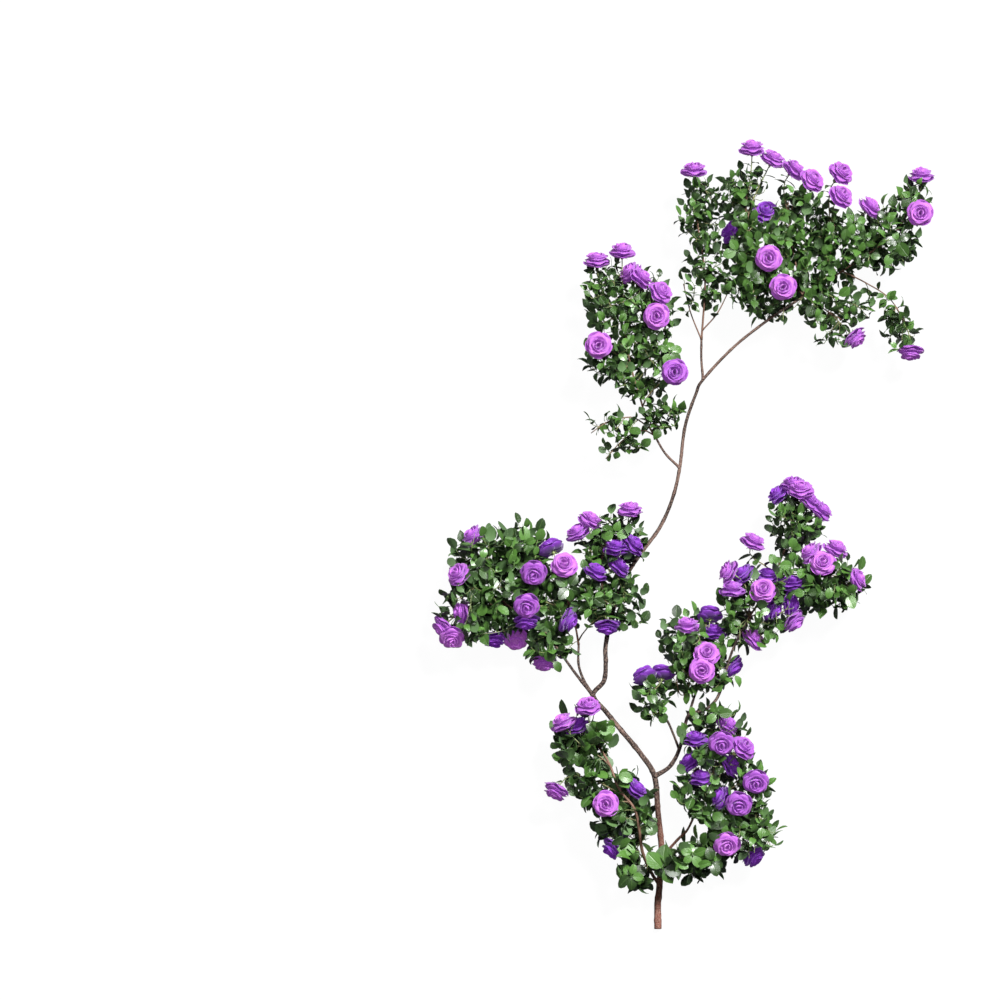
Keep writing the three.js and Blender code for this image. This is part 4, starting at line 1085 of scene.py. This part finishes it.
def grow_spray(spray):
    """The stems of a spray, its blooms on their shoots, its leafy shoots and its rosettes of leaves."""
    name = spray["name"]
    chance = random.Random(name)
    wood = new_wood()
    foliage = new_shape("upper", "tone")
    branches = []
    for points in spray["stems"]:
        radius = SIDE_STEM_RADIUS if branches else spray.get("stem_radius", STEM_RADIUS)
        stem = smooth_branch(points, STEM_STEP, branches)
        add_tube(wood, stem.path, taper(radius * MM, radius * STEM_TAPER * MM), STEM_SIDES, (0, 0.35))
        branches.append(stem)
    shoots = []
    for index, blooms in enumerate(spray["blooms"]):
        petals = new_shape(*PETAL_LAYERS)
        for bloom in blooms:
            looks = facing_of(bloom)
            base = placed(bloom) - looks * BLOOM_DEPTH / 2
            shoot = new_shoot(branches, base, looks, 0.4, chance)
            add_tube(wood, shoot.path, taper(*BLOOM_SHOOT), SHOOT_SIDES + 1, (0.3, 0.8))
            shoots.append(shoot)
            grow_leaves(foliage, shoot, BLOOM_LEAVES, spray, chance)
            spin = Matrix.Rotation(chance.uniform(0, math.tau), 4, "Z")
            upright = Matrix.Translation(base) @ looks.to_track_quat("Z", "Y").to_matrix().to_4x4() @ spin
            stamp(petals, chance.choice(roses[violet_and_shade_of(bloom)]), upright)
            stamp(wood, calyx, upright)
        finished(f"petals_{name}_{index + 1}", petals, [petal_violet], f"bloom_{name}_{index + 1}")
    forward_share = spray.get("forward_share", FORWARD_SHARE)
    tips = []
    for clump in spray["clumps"]:
        tips += clump_tips(clump, spray["fullness"], forward_share, chance)
    tips.sort(key=lambda tip: nearest_on(branches, tip[0])[2])
    for tip, facing in tips:
        shoot = new_shoot(branches + shoots, tip, facing, chance.uniform(0.3, 0.5), chance)
        add_tube(wood, shoot.path, taper(*LEAFY_SHOOT), SHOOT_SIDES, (0.45, 1))
        shoots.append(shoot)
        grow_leaves(foliage, shoot, SHOOT_LEAVES, spray, chance)
    for *middle, size in spray.get("rosettes", []):
        centre = placed(middle)
        shoot = new_shoot(branches, centre, WAYS["F"], 0.4, chance)
        add_tube(wood, shoot.path, taper(*ROSETTE_SHOOT), SHOOT_SIDES, (0.45, 1))
        add_rosette(foliage, centre, size, spray, chance)
    finished(f"shoots_{name}", wood, [green_wood], f"spray_{name}")
    finished(f"leaves_{name}", foliage, [leaf_green], f"spray_{name}")


def place_camera():
    view = bpy.data.cameras.new("photo_view")
    view.sensor_width = SENSOR_WIDTH
    view.lens = SENSOR_WIDTH * VIEW_DISTANCE / VIEW_WIDTH
    view.clip_end = VIEW_DISTANCE * 3
    camera = new_object("photo_view", view)
    camera.location = (*VIEW_CENTRE, VIEW_DISTANCE + 0.12)
    bpy.context.scene.camera = camera


def place_lights():
    """A soft sun from the upper right, a weak broad one from the front, and a dim even surround."""
    for name, energy, angle, source in LIGHTS:
        sun = bpy.data.lights.new(name, "SUN")
        sun.energy = energy
        sun.angle = math.radians(angle)
        new_object(name, sun).rotation_euler = Vector(source).to_track_quat("Z", "Y").to_euler()
    world = bpy.data.worlds.new("pale_surround")
    world.use_nodes = True
    surround = world.node_tree.nodes["Background"].inputs
    surround["Color"].default_value = SURROUND_TINT
    surround["Strength"].default_value = SURROUND_STRENGTH
    bpy.context.scene.world = world
    bpy.context.scene.view_settings.view_transform = "Standard"


def lay_floor():
    """A pale floor. It is nearly white as seen, with faint shadows, and throws little light back."""
    shape = bmesh.new()
    bmesh.ops.create_grid(shape, x_segments=1, y_segments=1, size=FLOOR_SIZE)
    bmesh.ops.translate(shape, vec=Vector((0, 0, -FLOOR_DROP)), verts=shape.verts)
    mesh = mesh_of(shape, "floor")
    paint = Paint("pale_floor")
    seen = paint.put("LightPath").outputs["Is Camera Ray"]
    mesh.materials.append(paint.look({
        "Base Color": (FLOOR_SHADE, FLOOR_SHADE, FLOOR_SHADE, 1), "Roughness": 0.9,
        "Emission Color": (1, 1, 1, 1), "Emission Strength": paint.ranged(seen, 0.0, 1.0, *FLOOR_SHINE)}))
    new_object("floor", mesh)


leaves = [[leaf_template("leaf", tone, *shape) for shape in LEAF_SHAPES] for tone in LEAF_TONES]
leaf_reach = [Vector(corner) * MM for corner in LEAF_REACH]
roses = {}
for depth_and_shade in (PALE, SOFT_SIDE_SHADE, HALF_DEEP_AND_SHADED, DEEP_AND_SHADED):
    roses[depth_and_shade] = [rose_template(depth_and_shade, seed) for seed in range(ROSE_SHAPES)]
calyx = calyx_template()

blooms = [bloom for spray in SPRAYS for piece in spray["blooms"] for bloom in piece]
faces = [(placed(bloom), facing_of(bloom)) for bloom in blooms]
shown_stems = [(placed(start), placed(end)) for line in SHOWN_STEMS for start, end in zip(line, line[1:])]

place_camera()
place_lights()
lay_floor()
grow_canes()
for spray in SPRAYS:
    grow_spray(spray)
for template in [*sum(leaves, []), *sum(roses.values(), []), calyx, scratch]:
    bpy.data.meshes.remove(template)
